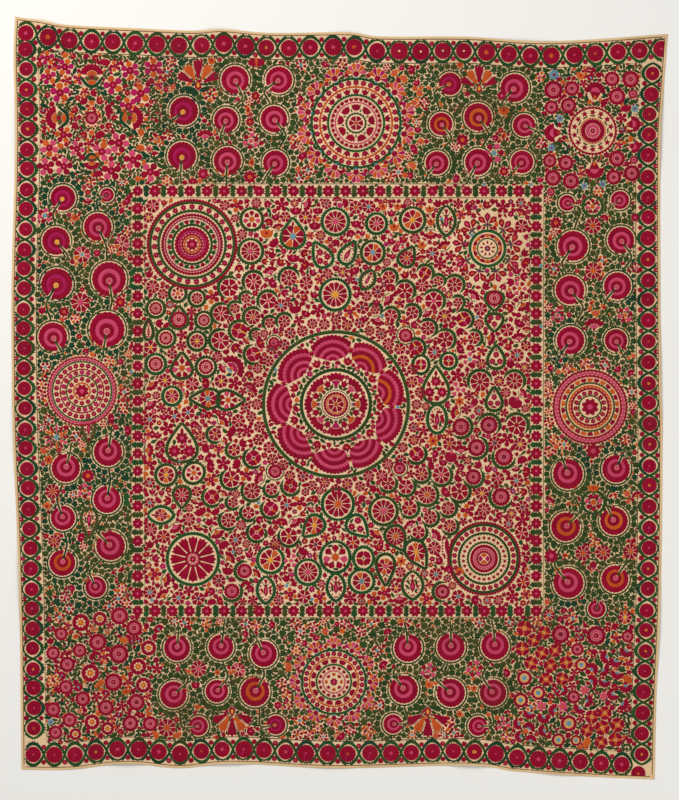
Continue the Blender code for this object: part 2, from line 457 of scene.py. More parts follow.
def layBarbs(dye, path, reach, spacing, side, stemWidth, lean=35.0):
    path = np.asarray(path, float)
    travelled = lengthAlong(path)
    count = max(int(travelled[-1] / spacing), 1)
    stops = (np.arange(count) + 0.5) * travelled[-1] / count
    run, flank = pathSides(path)
    base = np.column_stack([np.interp(stops, travelled, path[:, k]) for k in (0, 1)])
    u = np.column_stack([np.interp(stops, travelled, run[:, k]) for k in (0, 1)])
    v = np.column_stack([np.interp(stops, travelled, flank[:, k]) for k in (0, 1)]) * side
    thick = np.interp(stops, travelled, stemWidth) if np.ndim(stemWidth) else stemWidth
    base = base + v * np.reshape(thick, (-1, 1) if np.ndim(thick) else ()) * 0.30
    tip = base + (v * math.cos(math.radians(lean)) + u * math.sin(math.radians(lean))) * reach
    half = spacing * 0.44
    points = np.vstack((base - u * half, base, base + u * half, tip)) * cm
    i = np.arange(count)
    a, m, b, t = i, i + count, i + 2 * count, i + 3 * count
    order = ((a, m, t), (m, b, t)) if side > 0 else ((b, m, t), (m, a, t))
    tris = np.vstack([np.column_stack(trio) for trio in order])
    heights = padHeights(count, "rim", "shoulder", "rim", "rim")
    sew(dye, points, heights, points[:, 0], points[:, 1], [], tris)


def circle(x, y, r, start=0.0, sweep=360.0, count=None):
    count = count or max(int(abs(sweep) / 360 * (14 + 4 * r)), 6)
    angles = np.radians(start + np.linspace(0, sweep, count + 1))
    return rimPoints(x, y, r, angles)


def barbedRing(dye, x, y, r, width, spacing, reach, side=-1):
    layStem(dye, circle(x, y, r), width, ends=(1, 1))
    layBarbs(dye, circle(x, y, r), reach, spacing, side, width)


def polar(x, y, r, aim):
    return x + r * math.cos(math.radians(aim)), y + r * math.sin(math.radians(aim))


def behind(x, y, r, aim):
    return polar(x, y, r, aim + 180)


def pick(options):
    return needle["rng"].choice(options)


def draw(low, high):
    return needle["rng"].uniform(low, high)


def vary(value, share=0.08):
    return value * draw(1 - share, 1 + share)


# Small flowers and leaves
def roseFlower(x, y, r, dye="crimson", heart="pink", lobes=8, heartSize=0.28):
    lay(dye, "rose%d" % lobes, x, y, r, draw(0, 90))
    if heart:
        lay(heart, "disc", x, y, r * heartSize, raised=0.62)
    claim(x, y, r + 0.12)


def petalFlower(x, y, r, petals=6, dyes=("crimson",), heart="crimson", heartSize=0.30, turn=None,
                shape="widePetal"):
    turn = draw(0, 60) if turn is None else turn
    wide = min(5.7 / petals, 1.2)
    for k in range(petals):
        aim = turn + 360 * k / petals
        px, py = polar(x, y, r * 0.24, aim)
        lay(dyes[k % len(dyes)], shape, px, py, r * 0.76, aim, wide)
    if heart:
        lay(heart, "disc", x, y, r * heartSize, raised=0.30)
    claim(x, y, r + 0.1)


def beadFlower(x, y, r, beads, dyes):
    turn = draw(0, 60)
    for k in range(beads):
        aim = turn + 360 * k / beads
        place = polar(x, y, r * 0.68, aim)
        lay(dyes[k % len(dyes)], "bead", *place, r * (0.37 if beads < 6 else 0.325), aim, 0.98)
    lay("crimson", "bead", x, y, r * 0.42, turn, raised=0.12)
    lay("pink", "disc", x, y, r * 0.13, raised=0.7)
    claim(x, y, r + 0.1)
    keepBare(x, y, r * 0.92)


def wedgeFlower(x, y, r, wedges=8, dyes=("crimson",), heart="pink", heartSize=0.20, turn=None):
    turn = draw(0, 60) if turn is None else turn
    for k in range(wedges):
        lay(dyes[k % len(dyes)], "wedge%d" % wedges, x, y, r, turn + 360 * k / wedges)
    if heart:
        lay(heart, "disc", x, y, r * heartSize)
    claim(x, y, r + 0.1)


def starFlower(x, y, r, dye="crimson", heart="pink", rays=8):
    lay(dye, "star%d" % rays, x, y, r, draw(0, 72))
    lay(heart, "disc", x, y, r * 0.24, raised=0.60)
    claim(x, y, r + 0.05)


def tulip(x, y, size, aim, dye="crimson", heart=None, sepal="leaf"):
    bx, by = behind(x, y, size * 0.5, aim)
    lay(dye, pick(("tulip", "tulip", "cup")), bx, by, size, aim, vary(1.0, 0.12))
    if heart:
        hx, hy = behind(x, y, size * 0.18, aim)
        lay(heart, "drop", hx, hy, size * 0.42, aim, raised=0.60)
    if sepal:
        sx, sy = behind(bx, by, size * 0.22, aim)
        lay(sepal, "calyx", sx, sy, size * 0.42, aim, 1.3)
    claim(x, y, size * 0.55)


def bud(x, y, size, aim, dye="crimson", tip=None, sepal="leaf"):
    bx, by = behind(x, y, size * 0.5, aim)
    lay(dye, pick(("bud", "drop")), bx, by, size, aim, vary(1.1, 0.15))
    if tip:
        tx, ty = polar(x, y, size * 0.12, aim)
        lay(tip, "drop", tx, ty, size * 0.40, aim, raised=0.60)
    if sepal:
        sx, sy = behind(bx, by, size * 0.16, aim)
        lay(sepal, "calyx", sx, sy, size * 0.36, aim, 1.2)
    claim(x, y, size * 0.45)


def curl(x, y, r):
    start = draw(0, 360)
    turns = np.linspace(0, 430, 16)
    radii = np.linspace(r, r * 0.25, 16)
    angles = np.radians(start + turns)
    layStem("umber", rimPoints(x, y, radii, angles), 0.16)
    claim(x, y, r)


def layCarnation(x, y, size, aim, petals=5, dye="crimson", body="orange", cup="leaf", spread=124):
    foot = behind(x, y, size * 0.46, aim)              # where the petals meet
    layFanBand(dye, *foot, size * 0.52, size, aim, spread / 2, petals, 0.12)
    layFanBand(body, *foot, size * 0.17, size * 0.48, aim, spread * 0.45, 4)
    lay("crimson", "disc", *polar(*foot, size * 0.05, aim), size * 0.12, raised=0.1)
    if cup:
        for lean in (-1, 1):
            side = [behind(*foot, size * 0.14, aim), polar(*foot, size * 0.28, aim + lean * 105),
                    polar(*foot, size * 0.66, aim + lean * (spread / 2 + 17))]
            layStem(cup, smoothPath(side, 3), size * 0.10, keep=False)
    claim(x, y, size * 0.55)
    keepBare(*polar(*foot, size * 0.45, aim), size * 0.42)


def laySprig(x, y, size, aim, dye):
    stem = smoothPath([behind(x, y, size * 0.95, aim), polar(x, y, size * 0.2, aim)], 3)
    layStem(dye, stem, 0.28, keep=False)
    lay(dye, "leaf", *polar(x, y, size * 0.05, aim), size * 0.95, aim)
    for lean in (-58, 58):
        lay(dye, "leaf", *behind(x, y, size * 0.45, aim), size * 1.05, aim + lean)


def discFlower(x, y, r, lobes=14):
    layRing("crimson", x, y, r, r * 0.60, lobes, lobes, 0.10, steps=2)
    layRing("pink", x, y, r * 0.58, r * 0.31, lobes, 0, 0.10, steps=2)
    lay("crimson", "bead", x, y, r * 0.29)
    lay(pick(("pink", "violet")), "disc", x, y, r * 0.10, raised=0.6)
    claim(x, y, r + 0.1)


def stemmedLeaves(path, size, spacing, dye):
    path = np.asarray(path, float)
    run = pathSides(path)[0]
    travelled = lengthAlong(path)
    for k, stop in enumerate(np.arange(spacing * 0.6, travelled[-1], spacing)):
        x, y = (np.interp(stop, travelled, path[:, axis]) for axis in (0, 1))
        heading = math.degrees(math.atan2(*(np.interp(stop, travelled, run[:, axis]) for axis in (1, 0))))
        aim = heading + (52 if k % 2 else -52)
        tx, ty = polar(x, y, size * 0.62, aim)
        if isFree(tx, ty, size * 0.26):
            lay(dye, "leaf", x, y, size, aim)
            claim(tx, ty, size * 0.30)


# Greens differ from bed to bed, as the skeins did
def greenAt(x, y):
    drift = 0.5 + 0.25 * math.sin(x / 7.5 + y / 13.0) + 0.25 * math.sin(y / 8.5 - x / 17.0)
    if x < -74 or (y > 66 and x < -46):
        options = ("bottle", "leaf") if drift > 0.42 else ("leaf", "moss")
    elif y > 66 or y < -76:
        options = ("moss", "leaf") if drift > 0.5 else ("leaf", "leaf", "moss")
    elif x > 72:
        options = ("leaf", "moss", "leaf") if drift > 0.3 else ("leaf", "bottle")
    else:
        options = ("vine", "leaf") if drift > 0.5 else ("leaf", "moss")
    return pick(options)


# Outer border: toothed roundels in the eyes of a twining vine
outerBorder = {
    "topRow": {"count": 30, "first": -108.9, "last": 111.6, "inset": (5.2, 5.0), "swell": (3.75, 3.8),
               "disc": 3.1},
    "bottomRow": {"count": 29, "first": -106.3, "last": 97.9, "inset": (5.2, 4.8), "swell": (3.8, 3.75),
                  "disc": 3.0},
    "leftRow": {"count": 35, "first": 121.0, "last": -114.6, "inset": (4.2, 4.45), "swell": (3.3, 3.55),
                "disc": 2.66},
    "rightRow": {"count": 34, "first": 112.6, "last": -123.6, "inset": (4.15, 4.65), "swell": (3.55, 3.3),
                 "disc": 2.70},
    "teeth": 19, "toothDepth": 0.11, "vineWidth": 1.15, "vineSwell": (0.68, 1.05),
    "guardInset": {"top": 9.2, "bottom": 9.3, "left": 8.6, "right": 8.5},
    "edgeLine": 0.95,          # the dark stitched line, from the cloth's edge
    "edgeStitches": 420,
}


def rowPlace(side, along, inset):
    metres = along * cm
    if side == "topRow":
        return along, float(topY(metres)) / cm - inset
    if side == "bottomRow":
        return along, float(bottomY(metres)) / cm + inset
    if side == "leftRow":
        return float(leftX(metres)) / cm + inset, along
    return float(rightX(metres)) / cm - inset, along


def layRoundel(x, y, size, number):
    r = vary(size, 0.05)
    disc = placed(roundShape(outerBorder["teeth"], outerBorder["toothDepth"], teeth=True), x, y, r,
                  draw(0, 90))
    line = 1.05 * cm                                   # discs stop short of the cloth's edge
    disc[:, 1] = np.clip(disc[:, 1], bottomY(disc[:, 0]) + line, topY(disc[:, 0]) - line)
    disc[:, 0] = np.clip(disc[:, 0], leftX(disc[:, 1]) + line, rightX(disc[:, 1]) - line)
    layPatch("crimson", disc)
    style = "dot" if 16 < number < 21 else pick(("cross", "cross", "star", "blossom"))
    if style == "cross":
        lay("pink", "star5", x, y, r * 0.27, raised=0.45)
    elif style == "star":
        lay("pink", "star6", x, y, r * 0.30, raised=0.45)
    elif style == "blossom":
        lay(pick(("orange", "pink", "gold")), "rose6", x, y, r * 0.28, raised=0.45)
        lay("crimson", "disc", x, y, r * 0.10, raised=0.62)
    else:
        lay("cream", "disc", x, y, r * 0.20, raised=0.45)
    if needle["rng"].random() < 0.10:                # a stretch sewn with another skein
        lay("magenta", "longLeaf", *polar(x, y, r * 0.1, 250), r * 0.7, 250, raised=0.3)
    claim(x, y, r + 0.1)


def layVineEye(start, end, bulge):
    start, end = np.array(start), np.array(end)
    run = end - start
    long = np.hypot(*run)
    side = np.array((-run[1], run[0])) / long
    t = np.linspace(0, 1, 13)
    swell = np.sin(math.pi * t) ** 0.72
    path = start + run * t[:, None] + side * (bulge * swell)[:, None]
    slim, full = outerBorder["vineSwell"]
    thick = outerBorder["vineWidth"] * (slim + (full - slim) * np.sin(math.pi * t))
    dye = pick(("vine", "vine", "leaf", "bottle"))
    layStem(dye, path, thick, ends=(1, 1))
    outward = 1 if bulge > 0 else -1
    half = len(path) // 2
    layBarbs(dye, path[3:half + 1], 1.05, 0.80, outward, thick[3:half + 1], 40)
    layBarbs(dye, path[half:-3][::-1], 1.05, 0.80, -outward, thick[half:-3][::-1], 40)


def layRow(side, row):
    places = []
    for k in range(row["count"]):
        share = k / (row["count"] - 1)
        along = row["first"] + (row["last"] - row["first"]) * share
        inset = row["inset"][0] + (row["inset"][1] - row["inset"][0]) * share
        nudge = draw(-0.3, 0.3) if 0 < k < row["count"] - 1 else 0.0
        places.append(rowPlace(side, along + nudge, inset + draw(-0.15, 0.15)))
    places = np.array(places)
    between = (places[1:] + places[:-1]) / 2
    firstEnd = places[0] + (places[0] - between[0])
    lastEnd = places[-1] + (places[-1] - between[-1])
    crossings = np.vstack((firstEnd, between, lastEnd))
    for k, (x, y) in enumerate(places):
        layRoundel(x, y, row["disc"], k if side == "topRow" else 0)
        for bulge in (row["swell"][0], -row["swell"][1]):
            layVineEye(crossings[k], crossings[k + 1], bulge)
    run = np.gradient(crossings, axis=0)
    run /= np.hypot(run[:, 0], run[:, 1])[:, None]
    for (x, y), (ux, uy) in zip(crossings[1:-1], run[1:-1]):
        for sign in (1, -1):
            reach = vary(2.65, 0.04) * sign
            roseFlower(x - uy * reach, y + ux * reach, vary(0.98), heart=pick(("pink", None, None)))


def insetLine(edge, inset, first, last, count):
    along = np.linspace(first, last, count)
    if edge in ("top", "bottom"):
        y = topY(along * cm) / cm - inset if edge == "top" else bottomY(along * cm) / cm + inset
        return np.column_stack((along, y))
    x = leftX(along * cm) / cm + inset if edge == "left" else rightX(along * cm) / cm - inset
    return np.column_stack((x, along))


def layOuterBorder():
    needle["zone"] = "border"
    for side in ("topRow", "bottomRow", "leftRow", "rightRow"):
        layRow(side, outerBorder[side])
    layRoundel(103.6, -130.2, 2.6, 0)
    guard = outerBorder["guardInset"]
    for edge, first, last, width in (("top", -103.5, 105.0, 0.30), ("bottom", -101.0, 101.3, 0.30),
                                     ("left", 122.0, -119.4, 0.26), ("right", 116.0, -122.8, 0.26)):
        layStem("umber", insetLine(edge, guard[edge], first, last, 120), width)


def layEdgeLine():
    line = outerBorder["edgeLine"]
    for edge, first, last in (("top", -111.5, 112.6), ("bottom", -109.3, 108.2), ("left", 131.0, -127.8),
                              ("right", 125.0, -131.2)):
        path = insetLine(edge, line, first, last, outerBorder["edgeStitches"])
        for k in range(0, len(path) - 2, 2):          # worked in short running stitches
            layStem("umber" if k % 14 else "crimson", path[k:k + 3], 0.24, ends=(0.8, 0.8), keep=False)


# Gate rosettes of the main border. A chain is a stem with its rosettes in order along it.
# Each row: x, y, radius, aim of the gate where the stem goes in, ring dyes (pink where none is given)
rosetteStyles = {
    "pink": ("crimson", "pink", "crimson", "pink"),
    "magenta": ("crimson", "magenta", "crimson", "gold"),
    "yellow": ("crimson", "magenta", "crimson", "gold"),
    "orange": ("crimson", "orange", "crimson", "pink"),
    "plain": ("crimson", "magenta", "crimson", "orange"),
    "small": ("crimson", "pink", "crimson", "umber"),
}
rosetteChains = [
    [(-36.3, 110.4, 4.9, -65), (-39.4, 96.5, 4.3, -110), (-38.9, 82.3, 4.9, -95)],
    [(-21.0, 110.4, 4.7, 215), (-22.8, 96.8, 4.7, -50), (-22.3, 81.6, 4.4, 235)],
    [(-54.0, 99.6, 5.0, 220, "magenta"), (-54.7, 84.0, 5.0, 265, "yellow")],
    [(38.3, 109.0, 4.0, 205, "plain"), (35.2, 95.1, 4.0, -50, "orange"), (33.8, 81.6, 4.1, 232)],
    [(60.7, 107.6, 5.0, 228), (64.0, 94.6, 4.0, -25), (63.3, 81.9, 4.0, 228)],
    [(48.0, 97.5, 4.9, -55, "orange"), (48.0, 81.9, 4.6, 240)],
    [(-96.0, 69.4, 4.4, 235, "yellow"), (-98.4, 54.5, 4.9, -50, "yellow"),
     (-98.1, 39.6, 5.5, 240, "yellow"), (-99.5, 21.2, 5.1, -60)],
    [(-80.7, 70.5, 2.4, 205, "small"), (-83.9, 59.4, 4.9, -65), (-80.0, 41.3, 6.0, -82),
     (-80.7, 23.8, 6.2, -100)],
    [(-84.6, -65.6, 3.7, 115), (-79.5, -51.3, 5.1, 135), (-80.7, -35.2, 4.8, 80), (-80.4, -18.7, 5.0, 80)],
    [(-96.2, -57.2, 4.6, 75, "orange"), (-96.0, -41.6, 4.3, 110), (-95.0, -24.3, 5.0, 75)],
    [(78.9, 67.7, 2.8, -20), (81.0, 52.8, 5.3, 235), (79.9, 37.5, 5.1, -50), (80.1, 20.0, 4.9, 235)],
    [(97.3, 68.7, 3.2, 215), (97.6, 54.8, 4.7, -55), (96.4, 38.9, 4.8, 230), (95.9, 20.0, 4.0, -65)],
    [(89.2, -73.2, 3.1, 80, "small"), (95.5, -62.8, 4.8, 55, "orange"), (95.2, -42.7, 4.9, 115, "orange"),
     (95.9, -24.6, 4.9, 65)],
    [(79.4, -64.2, 5.3, 130), (78.4, -44.7, 5.1, 45, "orange"), (79.2, -26.4, 5.3, 110)],
    [(-49.0, -113.8, 3.4, 190), (-57.7, -102.9, 4.7, 40), (-56.4, -86.7, 4.6, 85)],
    [(-42.6, -101.7, 4.0, 50), (-41.2, -86.4, 4.4, 80)],
    [(-22.1, -113.4, 3.4, 190, "plain"), (-29.4, -102.0, 5.1, 60, "orange"), (-26.3, -88.8, 4.6, 115)],
    [(18.5, -113.1, 3.4, 0), (22.3, -101.1, 5.0, 125), (23.7, -86.7, 4.9, 95)],
    [(38.6, -102.3, 5.0, 140), (38.6, -86.4, 4.9, 90)],
    [(48.0, -113.8, 3.4, 0), (53.2, -102.3, 4.7, 125), (53.9, -86.0, 4.9, 95)],
]
gateRosette = {
    "ringGap": 0.56, "ringWidth": 0.58, "gateHalf": 0.72, "lobes": 21,
    "bands": (1.0, 0.66, 0.43, 0.17),            # where each colour starts, as a share of the radius
    "lean": (0.0, 0.05, 0.08, 0.10),             # how far each edge leans towards the gate
    "leafRing": 2.12, "leafSize": 2.25, "leafPitch": 2.16, "fullRadius": 4.5,
}


def layGateRosette(x, y, r, gate, style="pink"):
    make = gateRosette
    dyes = rosetteStyles[style]
    grown = min(r / make["fullRadius"], 1.0)
    half = make["gateHalf"] * grown
    green = greenAt(x, y)
    ring = r + make["ringGap"]
    around = circle(x, y, ring, gate + 22, 316, 38)
    flare = [polar(x, y, ring + 1.0, gate + lean) for lean in (5, -5)]     # both ends run out to the stem
    layStem(green, np.vstack((flare[:1], around, flare[1:])), make["ringWidth"])
    steps = np.linspace(0, 1, make["lobes"] * 3 + 1)
    edges = []
    for k in range(4):
        radius = r * make["bands"][k]
        opening = math.degrees(math.asin(min(half * (1, 0.74, 0.52, 0.3)[k] / radius, 0.9)))
        angles = np.radians(gate + opening + steps * (360 - 2 * opening))
        scallop = 0.045 if k < 3 else 0.0
        reach = radius * (1 - scallop * (1 - np.abs(np.sin(steps * make["lobes"] * math.pi))))
        cx, cy = polar(x, y, make["lean"][k] * r, gate)
        edges.append(rimPoints(cx, cy, reach, angles) * cm)
    for k in range(3):
        layBand(dyes[k], edges[k + 1], edges[k], closed=False)
    lay(dyes[3], "disc", *polar(x, y, make["lean"][3] * r, gate), r * 0.16)
    stem = smoothPath([polar(x, y, reach, gate) for reach in (r * 0.30, r * 0.62, r + 1.0)], 4)
    widths = np.interp(np.linspace(0, 1, len(stem)), [0, 0.22, 0.5, 1], [0.3, 1.05, 0.62, 0.72])
    layStem(green, stem, widths * grown, ends=(1, 1), raised=0.25)
    claim(x, y, ring + 0.2)


def bentPath(start, startAim, end, endAim):
    long = math.hypot(end[0] - start[0], end[1] - start[1]) * 0.42
    corners = np.array([start, polar(*start, long, startAim), polar(*end, long, endAim), end])
    t = np.linspace(0, 1, 12)[:, None]
    return (corners[0] * (1 - t) ** 3 + 3 * corners[1] * t * (1 - t) ** 2 + 3 * corners[2] * t * t * (1 - t)
            + corners[3] * t ** 3)


def layChain(chain):
    for row in chain:
        layGateRosette(*row)
    for here, after in zip(chain, chain[1:]):
        x, y, r, gate = here[:4]
        start = polar(x, y, r + 0.8, gate)
        nx, ny, nr = after[:3]
        back = math.degrees(math.atan2(start[1] - ny, start[0] - nx))
        end = polar(nx, ny, nr + 0.6, back)
        layStem(greenAt(*start), bentPath(start, gate, end, back), 0.74, ends=(0.9, 0.8))
    x, y, r, gate = chain[-1][:4]
    start = polar(x, y, r + 0.8, gate)
    end = polar(x, y, r + 4.4, gate)
    layStem(greenAt(*start), bentPath(start, gate, end, gate + 150), 0.70)


def layLeafRing(x, y, r, gate):
    make = gateRosette
    distance = r + make["leafRing"]
    count = int(fullTurn * distance / make["leafPitch"])
    size = vary(make["leafSize"], 0.04) * min(1.0, 0.6 + r / 10)
    for k in range(count):
        aim = gate + 10 + 360 * (k + 0.5) / count
        lx, ly = polar(x, y, distance, aim)
        if isFree(lx, ly, size * 0.30):
            lay(greenAt(lx, ly), "ivy", lx, ly, vary(size, 0.08), aim + draw(-14, 14), vary(0.98, 0.08))
            claim(lx, ly, size * 0.46)


# Flowers between the rosettes. Rows: kind, x, y, size, and aim where it isn't 0
bedFlowers = [
    ("palmette", -49.1, 112.4, 9.6, 90), ("four", -45.0, 105.5, 2.8, 45), ("fan", -46.7, 91.3, 5.4, 90),
    ("bud", -42.4, 90.4, 1.9, 90), ("bud", -46.9, 96.3, 1.7, 100), ("orangeDrop", -31.8, 100.3, 3.0, 100),
    ("orangeDrop", -30.4, 82.2, 2.9, 80), ("rose", -29.2, 104.8, 1.7), ("heart", -28.9, 116.3, 2.1, 90),
    ("rose", -31.1, 95.8, 1.7), ("six", -30.8, 89.2, 3.0), ("rose", -31.2, 76.7, 2.4),
    ("six", -59.4, 91.4, 2.1), ("rose", -47.4, 77.7, 2.1), ("orangeTulip", -44.4, 117.1, 2.6, 90),
    ("palmette", 48.4, 110.8, 8.6, 90), ("six", 53.5, 85.0, 3.6), ("rose", 42.6, 89.5, 2.3),
    ("orangeDrop", 57.0, 91.2, 2.8, 60), ("orangeTulip", 57.0, 99.8, 3.0, 90), ("rose", 56.2, 104.9, 1.8),
    ("star", 44.3, 105.6, 1.6), ("rose", 57.0, 78.6, 1.8), ("orangeTulip", 41.7, 115.6, 2.2, 90),
    ("six", -102.3, 63.3, 2.8), ("fan", -87.4, 68.5, 3.4, 270), ("eight", -89.4, 49.8, 3.1),
    ("eight", -75.6, 53.5, 2.8), ("bud", -75.5, 65.2, 2.6, 60), ("rose", -84.2, 50.3, 1.4),
    ("six", -79.3, 51.4, 1.6), ("orangeTulip", -91.8, 62.7, 2.4, 60), ("wedge", -89.9, 33.2, 3.5),
    ("rose", -76.1, 33.2, 2.1), ("bud", -103.3, 30.5, 2.4, 90), ("rose", -95.6, 29.9, 1.9),
    ("rays", -98.2, -13.6, 4.6), ("dropFrame", -87.1, -11.8, 4.2, 270),
    ("orangeRose", -101.0, -21.4, 1.7), ("rose", -87.3, -27.0, 2.4), ("wedge", -99.6, -32.4, 2.7),
    ("six", -88.4, -32.2, 2.7), ("dropFrame", -86.9, -43.6, 5.2, 270), ("wedge", -99.0, -49.6, 2.3),
    ("orangeTulip", -101.5, -37.5, 2.6, 250), ("archFrame", 87.8, 66.5, 3.4, 90),
    ("wedge", 87.9, 59.8, 3.0), ("rose", 75.0, 60.8, 2.2), ("orangeDrop", 73.0, 55.6, 2.6, 90),
    ("rose", 102.5, 62.6, 1.6), ("wedge", 88.0, 44.2, 3.0), ("six", 74.4, 44.8, 2.2),
    ("six", 103.0, 45.2, 2.1), ("orangeDrop", 87.6, 33.2, 2.6, 40), ("orangeDrop", 91.4, 31.8, 2.6, 130),
    ("fan", 88.3, 25.6, 6.6, 90), ("six", 75.6, 28.6, 2.6), ("six", 99.0, 28.8, 2.8),
    ("rose", 88.0, -18.4, 2.8), ("orangeTulip", 88.0, -31.2, 2.4, 90),
    ("archFrame", 88.1, -36.2, 3.9, 270), ("fan", 72.9, -35.6, 3.6, 60), ("fan", 103.0, -33.6, 3.6, 120),
    ("orangeDrop", 79.4, -36.6, 2.2, 50), ("orangeDrop", 95.4, -33.4, 2.2, 140),
    ("wedge", 84.4, -53.8, 2.8), ("wedge", 91.4, -53.6, 2.8), ("bud", 88.0, -58.2, 3.0, 270),
    ("wedge", 101.0, -53.2, 2.8), ("orangeDrop", 78.4, -54.6, 2.6), ("rose", 73.4, -54.8, 2.6),
    ("wedge", -48.9, -93.9, 2.9), ("eight", -35.2, -94.2, 2.6), ("tulip", -50.0, -99.6, 2.6, 90),
    ("orangeRose", -49.4, -107.2, 1.1), ("palmette", -37.3, -112.4, 9.2, 270),
    ("wedge", -59.9, -114.4, 3.3), ("orangeRose", -42.4, -95.2, 1.1), ("rose", -21.4, -106.6, 1.5),
    ("orangeDrop", -43.0, -117.6, 2.4, 180), ("six", 30.8, -94.7, 3.0), ("six", 46.8, -93.9, 3.1),
    ("palmette", 30.6, -112.6, 9.4, 270), ("orangeTulip", 31.0, -99.4, 2.2, 90),
    ("orangeTulip", 46.6, -100.6, 2.2, 90), ("star", 41.6, -109.5, 1.6), ("six", 38.0, -112.6, 2.1),
    ("six", 56.9, -112.9, 2.6), ("tulip", 57.8, -95.4, 3.0, 200),
]


def layBedFlower(kind, x, y, size, aim=0):
    green = greenAt(x, y)
    if kind == "palmette":
        layPalmette(x, y, size, aim)
    elif kind == "fan":
        layCarnation(x, y, size * 0.66, aim, 5, "crimson", pick(("pink", "orange")), green)
    elif kind == "four":
        petalFlower(x, y, size, 8, ("crimson", "orange"), "crimson", 0.22, aim)
    elif kind == "six":
        petalFlower(x, y, size, 6, ("crimson", "pink") if size > 2.4 else ("crimson",),
                    pick(("orange", "blue", "pink")), 0.26)
    elif kind == "eight":
        wedgeFlower(x, y, size, 8, ("crimson", "crimson", "pink", "crimson", "orange"),
                    pick(("blue", "crimson")))
    elif kind == "wedge":
        wedgeFlower(x, y, size, 9, ("crimson",), pick(("pink", "orange")), 0.30)
    elif kind == "rays":
        petalFlower(x, y, size, 12, ("crimson", "orange", "crimson", "pink"), "blue", 0.20, 0, "petal")
    elif kind == "rose":
        roseFlower(x, y, size, "crimson", pick(("pink", "orange")), 8, 0.32)
    elif kind == "orangeRose":
        roseFlower(x, y, size, "orange", "crimson", 6, 0.3)
    elif kind == "star":
        starFlower(x, y, size, pick(("orange", "crimson")), "crimson", 6)
    elif kind == "heart":
        for lean, dye in ((-34, "crimson"), (34, "crimson"), (0, "orange")):
            lay(dye, "widePetal", *behind(x, y, size * 0.9, aim), size * 1.9, aim + lean,
                0.9 if lean else 0.4)
        claim(x, y, size)
    elif kind == "orangeTulip":
        tulip(x, y, size * 1.15, aim, "orange", "crimson", green)
    elif kind == "tulip":
        tulip(x, y, size, aim, "crimson", "pink", green)
    elif kind == "bud":
        bud(x, y, size * 1.2, aim, "crimson", "pink", green)
    elif kind == "orangeDrop":
        lay("orange", "drop", *behind(x, y, size * 0.5, aim), size, aim, 1.05)
        lay("crimson", "drop", *behind(x, y, size * 0.42, aim), size * 0.55, aim, 0.9, raised=0.6)
        claim(x, y, size * 0.5)
    elif kind == "dropFrame":
        layFrame("drop", x, y, size * 0.62, size, aim, "seeds", green)
    elif kind == "archFrame":
        layFrame("round", x, y, size, size, aim, "fan", green)


def layFanBand(dye, x, y, inner, outer, aim, half, waves=0, depth=0.06, raised=0.0):
    share = np.linspace(0, 1, 4 * waves + 1 if waves else 13)
    angles = np.radians(aim - half + 2 * half * share)
    waved = 1 - depth * (1 - np.abs(np.sin(share * waves * math.pi))) if waves else 1.0
    rails = [rimPoints(x, y, r * waved, angles) * cm
             for r in (inner, outer)]
    layBand(dye, rails[0], rails[1], closed=False, raised=raised)


def layPalmette(x, y, size, aim):
    green = greenAt(x, y)
    foot = behind(x, y, size * 0.40, aim)
    for lean in (-62, -31, 0, 31, 62):
        dye = "orange" if abs(lean) == 31 else "crimson"
        lay(dye, "wedge12", *foot, size * (0.96 if lean == 0 else 0.86), aim + lean, 0.94)
    for lean in (-46.5, -15.5, 15.5, 46.5):
        vein = smoothPath([polar(*foot, size * reach, aim + lean) for reach in (0.34, 0.80)], 2)
        layStem("violet", vein, 0.20, keep=False)
    lay("crimson", "drop", *behind(*foot, size * 0.20, aim), size * 0.42, aim, 1.0, raised=0.35)
    lay("gold", "drop", *behind(*foot, size * 0.10, aim), size * 0.22, aim, 0.8, raised=0.95)
    for lean in (-74, 74):
        lay(green, "longLeaf", *behind(*foot, size * 0.22, aim), size * 0.62, aim + lean, 1.1)
    claim(x, y, size * 0.46)


def layCup(x, y, size, aim):
    hub = behind(x, y, size * 0.10, aim)
    layFanBand("crimson", *hub, size * 0.31, size * 0.66, aim, 80, 9, 0.08)
    layFanBand("orange", *hub, size * 0.10, size * 0.29, aim, 84, 5)
    foot = behind(*hub, size * 0.56, aim)
    layFanBand("olive", *foot, size * 0.36, size * 0.62, aim, 42, 4)
    layFanBand("orange", *foot, size * 0.10, size * 0.34, aim, 48)
    lay("crimson", "drop", *behind(*hub, size * 0.22, aim), size * 0.34, aim, raised=0.7)
    # reach and lean of the points along the green rim
    rim = [(0.60, 92), (0.50, 124), (0.54, 156), (0.56, 180), (0.54, 204), (0.50, 236), (0.60, 268)]
    path = smoothPath([polar(*hub, size * reach, aim + lean) for reach, lean in rim], 3)
    layStem("bottle", path, 1.15, ends=(0.5, 0.5), raised=0.3)
    claim(x, y, size * 0.58)
    keepBare(x, y, size * 0.52)


# Framed flowers: a barbed green frame with a flower inside
def framePath(kind, x, y, halfWidth, halfLength, aim, count=30):
    t = np.linspace(0, fullTurn, count + 1)
    across, up = -np.sin(t), np.cos(t)
    if kind == "drop":
        across = across * np.abs(np.sin(t / 2)) ** 1.2 * 1.16
    elif kind == "lens":
        across = across * np.abs(np.sin(t)) ** 0.6
    elif kind == "heart":
        up = up + 0.16 * np.abs(np.sin(t / 2)) ** 10
        across = across * np.abs(np.sin(t / 2)) ** 0.9 * 1.1
    turn = math.radians(aim - 90)
    c, s = math.cos(turn), math.sin(turn)
    across, up = across * halfWidth, up * halfLength
    return np.column_stack((x + c * across - s * up, y + s * across + c * up))


